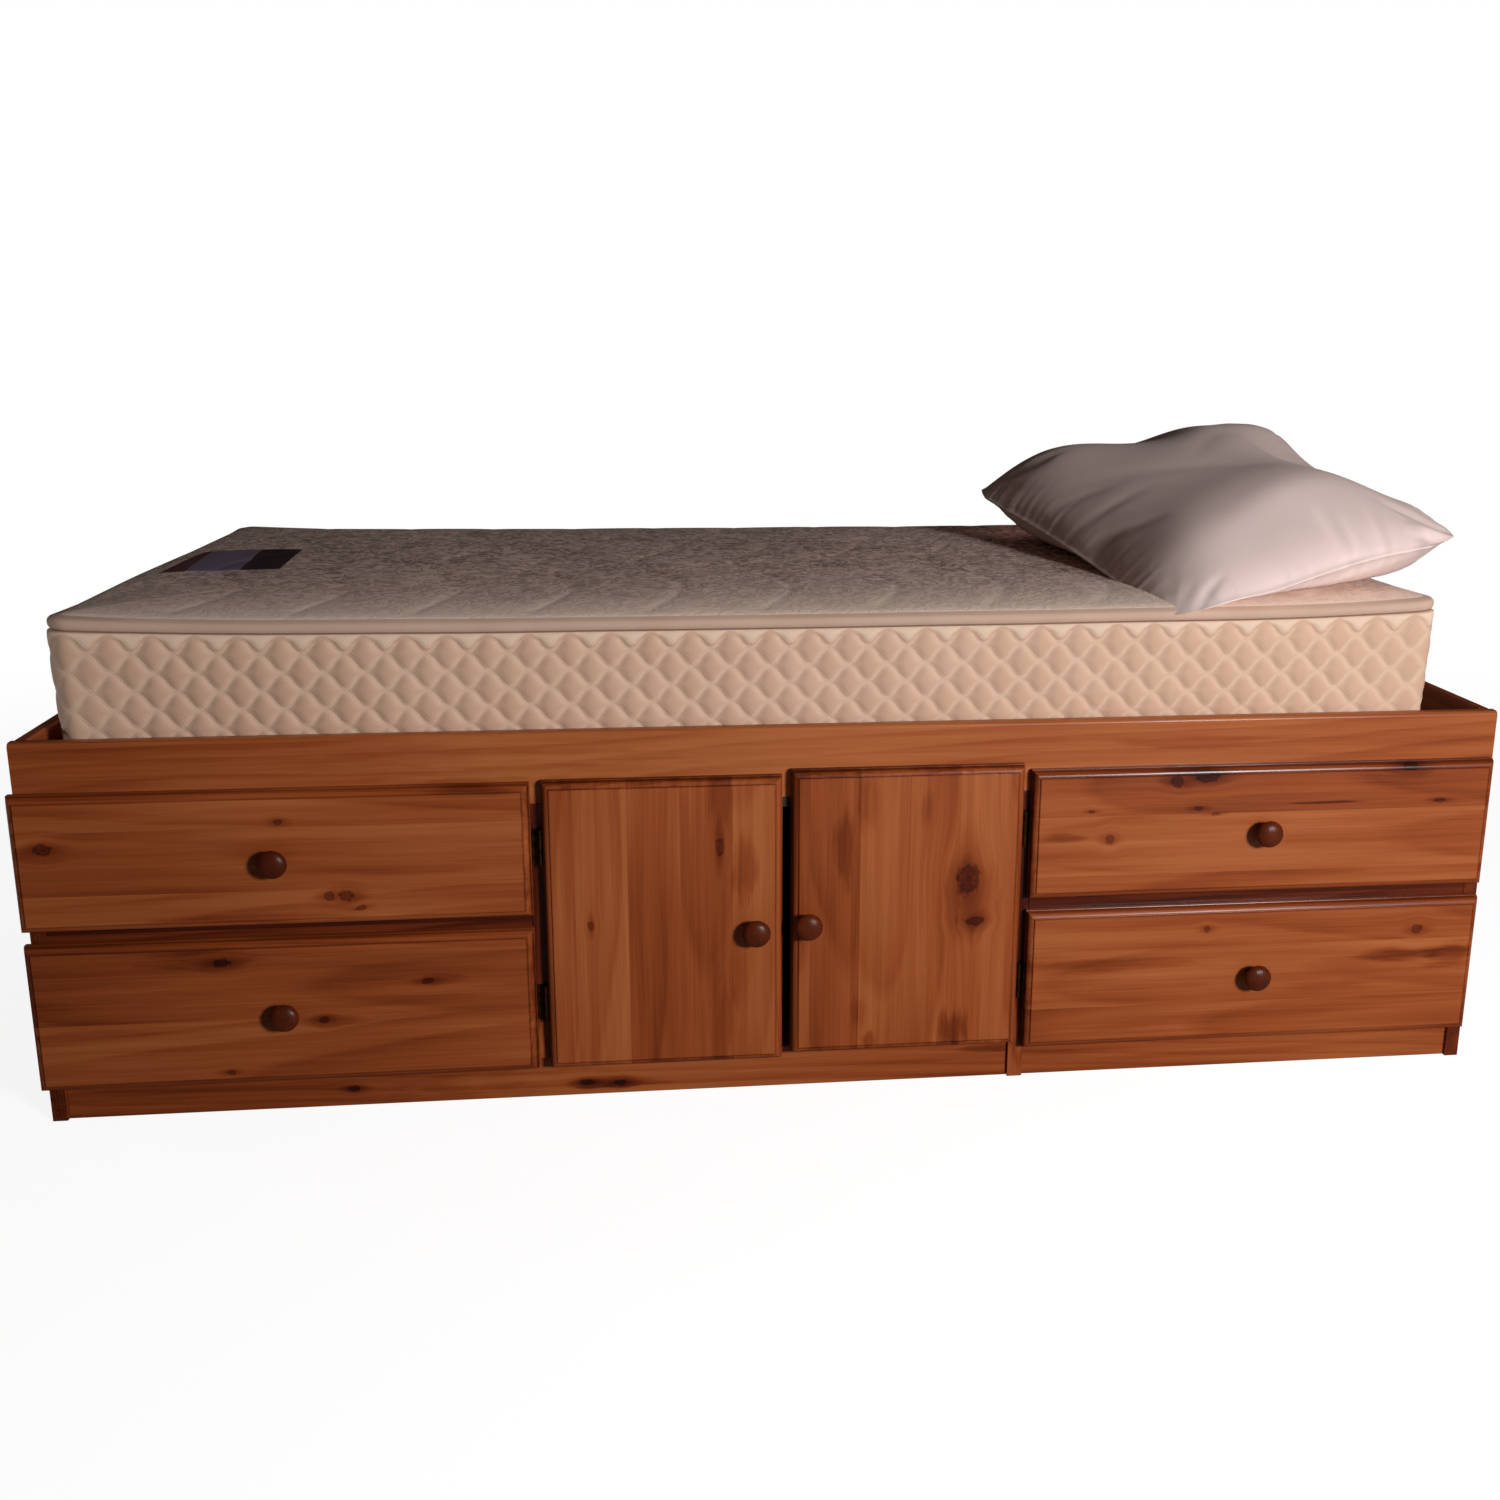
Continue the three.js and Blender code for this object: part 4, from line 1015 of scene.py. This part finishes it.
label_cloth, add = new_material("woven_polyester")
axis = (LABEL_CORNERS_MM[1] - LABEL_CORNERS_MM[0]) / label_long / label_long / MM
corner = mattress_low + Vector((*(LABEL_CORNERS_MM[0] * MM), 0))
place = add("TexCoord")["Object"]
offset = add("VectorMath SUBTRACT", place, corner)[0]
run = add("VectorMath DOT_PRODUCT", offset, (*axis, 0))["Value"]
colour = add("ValToRGB", run, stops=coloured(LABEL_BANDS), blend="CONSTANT")[0]
ribs = add("TexWave", {
    "Vector": place, "Scale": 1 / (LABEL_RIB_MM * MM) / WEAVE_COARSER, "Distortion": 0.6,
}, bands_direction="Y")["Fac"]
wear_and_light = add("TexNoise", {"Vector": place, "Scale": 60.0, "Detail": 5.0})[0]
wear_and_light = add("MapRange", {"Value": wear_and_light, "From Min": 0.45, "From Max": 0.8, "To Max": 0.15})[0]
colour = add("Mix", {0: wear_and_light, 6: colour, 7: linear(LABEL_WORN)}, data_type="RGBA")[2]
bump = add("Bump", {"Height": ribs, "Strength": 0.4, "Distance": 0.0003})[0]
shader = add("BsdfPrincipled", {
    "Base Color": colour, "Roughness": 0.55, "Normal": bump, "Specular IOR Level": 0.2,
})[0]
add("OutputMaterial", shader)
label = make_mesh_object("bare_woven_label", label_points, label_faces, [label_cloth])
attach(label, body_of["mattress"])
print("label of", label_cloth.name, "with", len(LABEL_BANDS), "bands")

# %% [markdown]
# The pillow is two pieces of cotton sewn together at their edges and stuffed. It leans across
# the head end: its near corner hangs over the tape, its far end is propped up. A pillow is
# easiest to describe by its seam. Four corners give a curved sheet, the upper side lifts off
# it and the lower side sinks to the mattress. A few soft bumps then place its folds.

# %% Pillow: the sewn shape
PILLOW_CELLS = (88, 104)
EDGE_CROWDING = 0.25
PILLOW_LIFT_MM = 0.6
SEAM_DRAW, FRONT_DRAW = 0.06, 0.4
CORNER_ROUND = 0.08
LOFT_MM = 87.0
FULLNESS = (0.50, 0.42)
LEFT_SLACK, FRONT_SLACK = 0.25, 0.12
EDGE_TAPER = 0.06
LOWER_FULLNESS = 1.05
HOLLOW = 6.5
SEAM_CORNERS_MM = np.array([(-398, -32, -29), (68, 29, 76), (82, 808, 200), (-524, 766, 86)])
SEAM_WAVES = [
    (-0.70, -1.0, 0.24, 0.4, 0.4, 10), (-0.1, -1.0, 0.4, 0.3, 0.3, 4), (0.45, -1.0, 0.55, 0.35, 0.35, 13),
    (0.95, 0.35, 0.3, 0.5, 0.5, -17), (0.9, 0.9, 0.25, 0.25, 0.25, 8),
]
TOP_BUMPS = [
    (-0.78, 0.80, 0.40, 0.40, 0.40, 56), (-0.05, 0.85, 0.25, 0.35, 0.35, -22),
    (0.85, 0.20, 0.36, 0.50, 0.50, -66), (0.80, 0.88, 0.20, 0.20, 0.20, 16),
    (0.95, -0.40, 0.34, 0.45, 0.45, -46), (-0.30, 0.20, 0.60, 0.50, 0.50, 6),
    (0.10, -0.60, 0.90, 0.25, 0.30, 30), (0.35, 0.45, 0.35, 0.40, 0.40, 10),
    (-0.85, -0.72, 0.35, 0.22, 0.22, 20),
]
pillow_corner = Vector((mattress_high.x, mattress_low.y, mattress_high.z))


def bumps(u, v, hills):
    """A sum of hills: place, width along u, width towards the front and towards the back, height."""
    total = 0.0
    for at_u, at_v, wide, front, back, height in hills:
        deep = np.where(v > at_v, back, front)
        total = total + height * np.exp(-((u - at_u) / wide) ** 2 - ((v - at_v) / deep) ** 2)
    return total


def pillow_rest(points):
    """Height of the mattress under points given in mm from pillow_corner, and a hair above it."""
    x, y = points[..., 0] + half_x - END_BULGE_MM, points[..., 1] - half_y
    inset = np.minimum(half_x - np.abs(x), half_y - np.abs(y))
    return np.interp(inset, *zip(*TOP_PROFILE_MM)) + edge_shift(x, y, inset) - CROWN_MM + PILLOW_LIFT_MM


def pillow_side(u, v, upper):
    """Points of the pillow's upper or lower side in mm from pillow_corner; u and v go from -1 to 1."""
    round_u, round_v = u * (1 - CORNER_ROUND * v ** 8), v * (1 - CORNER_ROUND * u ** 8)
    a = (1 + round_u * (1 - SEAM_DRAW * (1 - v ** 2))) / 2
    b = (1 + round_v * (1 - SEAM_DRAW * (1 - u ** 2) * np.where(v < 0, FRONT_DRAW, 1.0))) / 2
    points = between_corners(SEAM_CORNERS_MM, a[..., None], b[..., None])
    points[..., 2] += bumps(u, v, SEAM_WAVES)
    power_u, power_v = LOWER_FULLNESS, LOWER_FULLNESS
    taper = 1 - np.exp(-(1 - v ** 2) / EDGE_TAPER)
    if upper:
        power_u = FULLNESS[0] + LEFT_SLACK * np.clip(-u, 0, 1)
        power_v = FULLNESS[1] + FRONT_SLACK * np.clip(-v, 0, 1)
    else:
        taper = np.where(v < 0, 1.0, taper)
    taper = taper * (1 - np.exp(-(1 - u ** 2) / EDGE_TAPER))
    full = np.clip(1 - u ** 2, 0, 1) ** power_u * np.clip(1 - v ** 2, 0, 1) ** power_v * taper
    if upper:
        points[..., 2] += (LOFT_MM + bumps(u, v, TOP_BUMPS)) * full
    else:
        rest = pillow_rest(points)
        points[..., 2] = rest + (points[..., 2] - rest) * (1 - full) ** HOLLOW
    return points


def crowded_to_edge(cells):
    t = np.linspace(-1, 1, cells + 1)
    return t * (1 + EDGE_CROWDING - EDGE_CROWDING * t ** 2)


u, v = np.meshgrid(*(crowded_to_edge(cells) for cells in PILLOW_CELLS), indexing="ij")
pillow_mm, pillow_faces = joined_sheets(pillow_side(u, v, True), pillow_side(u, v, False))
grid_uv = np.dstack([u, v, np.zeros(u.shape)])
pillow_uv = joined_sheets(grid_uv, grid_uv)[0][:, :2]
print(len(pillow_mm), "points in the pillow")

# %% [markdown]
# Real cotton is a little too big for its stuffing, so it creases where the seam pulls. A short
# cloth simulation does this: the cloth grows by half a percent, air pressure holds it out, and
# the corners and the parts that lie on the mattress are pinned. No point may move further
# than a cap.

# %% Pillow: creases by cloth simulation
SIM_FRAMES = 20
SIM_CAP_MM = 2.5
PIN_WITHIN_MM = 9.0
PIN_CORNERS = 0.96
CLOTH_SETTINGS = {
    "quality": 6, "mass": 0.25, "tension_stiffness": 12, "compression_stiffness": 12, "shear_stiffness": 4,
    "bending_stiffness": 0.3, "shrink_min": -0.005, "use_pressure": True, "uniform_pressure_force": 1.2,
}
cotton = fabric("washed_cotton", ("#e9cfc8", "#f1d9d3"), 1.1, roughness=0.85)
pillow = make_mesh_object("cotton_pillow", pillow_mm * MM + np.array(pillow_corner), pillow_faces, [cotton])


def relax(obj, pinned):
    """Runs the cloth on obj and gives its points then, none further than the cap, and how far each went."""
    start = np.array([v.co for v in obj.data.vertices])
    pins = obj.vertex_groups.new(name="pins")
    pins.add([int(i) for i in np.flatnonzero(pinned)], 1.0, "REPLACE")
    cloth = obj.modifiers.new("cloth", "CLOTH").settings
    for name, value in CLOTH_SETTINGS.items():
        setattr(cloth, name, value)
    cloth.vertex_group_mass = pins.name
    cloth.effector_weights.gravity = 0
    for step in range(1, SIM_FRAMES + 1):
        bpy.context.scene.frame_set(step)
    shown = obj.evaluated_get(bpy.context.evaluated_depsgraph_get())
    moved = np.array([v.co for v in shown.data.vertices]) - start
    obj.modifiers.clear()
    obj.vertex_groups.clear()
    bpy.context.scene.frame_set(1)
    far = np.linalg.norm(moved, axis=1, keepdims=True)
    cap = SIM_CAP_MM * MM
    moved *= np.where(far > 0, cap * np.tanh(far / cap) / np.maximum(far, 1e-9), 1.0)
    return start + moved, far


is_lower = np.arange(len(pillow_mm)) >= u.size
lying = is_lower & (pillow_mm[:, 2] < pillow_rest(pillow_mm) + PIN_WITHIN_MM)
settled, far = relax(pillow, lying | (np.abs(pillow_uv) > PIN_CORNERS).all(axis=1))
pillow.data.vertices.foreach_set("co", settled.ravel())
pillow.data.update()
print(f"cloth moved {far.mean() * 1000:.1f} mm on average, {far.max() * 1000:.1f} mm at most")

# %% [markdown]
# The simulation gives soft creases. The sharper ones, at the corners where all the cloth is
# gathered and along the seam, are listed one by one: each is a short line on the pillow that
# the cloth sinks or rises along. The seam itself stands out as a thin ridge.

# %% Pillow: folds and seam
FOLDS_MM = [
    (0.14, -0.78, 0.19, -0.99, 8, -3.0), (0.24, -0.86, 0.31, -1.0, 7, -2.5),
    (0.62, -0.80, 0.69, -0.98, 8, -3.0), (0.62, -0.78, 0.97, -0.97, 8, -4.0),
    (0.66, -0.90, 1.0, -0.99, 6, 3.0), (0.70, -0.96, 0.9, -1.0, 5, -3.0),
    (-0.90, -0.05, -0.55, -0.12, 13, -1.6), (-0.95, -0.20, -0.65, -0.42, 12, -1.8),
    (-0.88, 0.22, -0.62, 0.05, 12, -1.6), (-0.75, 0.25, 0.12, -0.30, 22, -2.0),
    (-0.05, 0.05, 0.5, 0.55, 20, -2.0), (-0.60, -0.73, 0.25, -0.58, 34, 3.0),
    (0.10, -0.80, 0.16, -1.0, 6, -2.0), (0.42, -0.82, 0.44, -1.0, 6, -2.0),
]
FOLD_END_SHARE = 0.35
HALF_SPAN_MM = np.array([220.0, 385.0])
PUCKER_MM, PUCKER_PITCH_MM, PUCKER_REACH_MM = 2.2, 7.5, 16.0
RIPPLES = [(1.0, 1.0, 7.3, 0.0), (0.6, 2.7, 1.9, 4.0)]
GATHER_MM, GATHER_REACH_MM = 3.4, 40.0
ON_SEAM_MM = 0.01
SEAM_RIDGE_MM, SEAM_SHARPNESS = 3.0, 0.8
CORNER_CALM_MM = 60.0


def fold_height(uv):
    """How far the folds lift or sink each point, in mm. A fold is its start, its end, width and height."""
    total = np.zeros(len(uv))
    for u0, v0, u1, v1, width, height in FOLDS_MM:
        start, end = np.array([u0, v0]) * HALF_SPAN_MM, np.array([u1, v1]) * HALF_SPAN_MM
        line = end - start
        along = np.clip(((uv * HALF_SPAN_MM - start) @ line) / (line @ line), 0, 1)
        off = np.linalg.norm(uv * HALF_SPAN_MM - start - along[:, None] * line, axis=1)
        share = FOLD_END_SHARE + (1 - FOLD_END_SHARE) * np.sin(math.pi * along)
        total += height * np.exp(-(off / width) ** 2) * share
    return total


to_edge = (1 - np.abs(pillow_uv)) * HALF_SPAN_MM
edge_mm = to_edge.min(axis=1)
on_seam = edge_mm <= ON_SEAM_MM
run_u, run_v = (pillow_uv * HALF_SPAN_MM).T
seam_run = np.where(to_edge[:, 0] < to_edge[:, 1], run_v, run_u)
ripple = sum(
    share * np.array([noise.noise(Vector((s / (stretch * PUCKER_PITCH_MM), y, z))) for s in seam_run])
    for share, stretch, y, z in RIPPLES
)
from_corner = np.clip(to_edge.max(axis=1) / CORNER_CALM_MM, 0, 1) ** 2
gathers = GATHER_MM * np.exp(-edge_mm / GATHER_REACH_MM)
puckers = PUCKER_MM * np.exp(-edge_mm / PUCKER_REACH_MM)
lift = np.where(is_lower, gathers, puckers) * (ripple * ~on_seam * from_corner)
lift += np.where(is_lower, 0.0, fold_height(pillow_uv))
lift = np.where(lying, 0.0, lift)
normals = np.array([p.normal for p in pillow.data.vertices])
points = np.array([p.co for p in pillow.data.vertices]) + normals * lift[:, None] * MM
points[on_seam] += normals[on_seam] * from_corner[on_seam, None] * SEAM_RIDGE_MM * MM
pillow.data.vertices.foreach_set("co", points.ravel())
seam_edge = pillow.data.attributes.new("crease_edge", "FLOAT", "EDGE")
sharp = SEAM_SHARPNESS * on_seam * from_corner
seam_edge.data.foreach_set("value", [min(sharp[i] for i in e.vertices) for e in pillow.data.edges])
pillow.data.update()
smooth = pillow.modifiers.new("smooth", "SUBSURF")
smooth.levels = smooth.render_levels = 1
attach(pillow, body_of["pillow"])
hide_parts("pillow")
print(int(on_seam.sum()), "points on the pillow's seam")

# %% [markdown]
# Boards never have perfectly sharp edges. A small bevel catches a thin line of light, and it
# is a modifier, so the boards themselves keep their CAD shape.

# %% Softened edges
EDGE_MM = 0.8
WELD_MM = 0.05
SHARP_DEGREES = 40
boards = [
    n for n in nodes
    if not nodes[n].hide_render and not n.endswith(("_knob", "_leaf")) and n not in ("mattress", "pillow")
]
for node_name in boards:
    weld = nodes[node_name].modifiers.new("weld", "WELD")
    weld.merge_threshold = WELD_MM * MM
    soften = nodes[node_name].modifiers.new("soften", "BEVEL")
    soften.width = EDGE_MM * MM
    soften.segments = 2
    soften.limit_method = "ANGLE"
    soften.angle_limit = math.radians(SHARP_DEGREES)
print(len(boards), "boards softened")

bpy.context.view_layer.update()
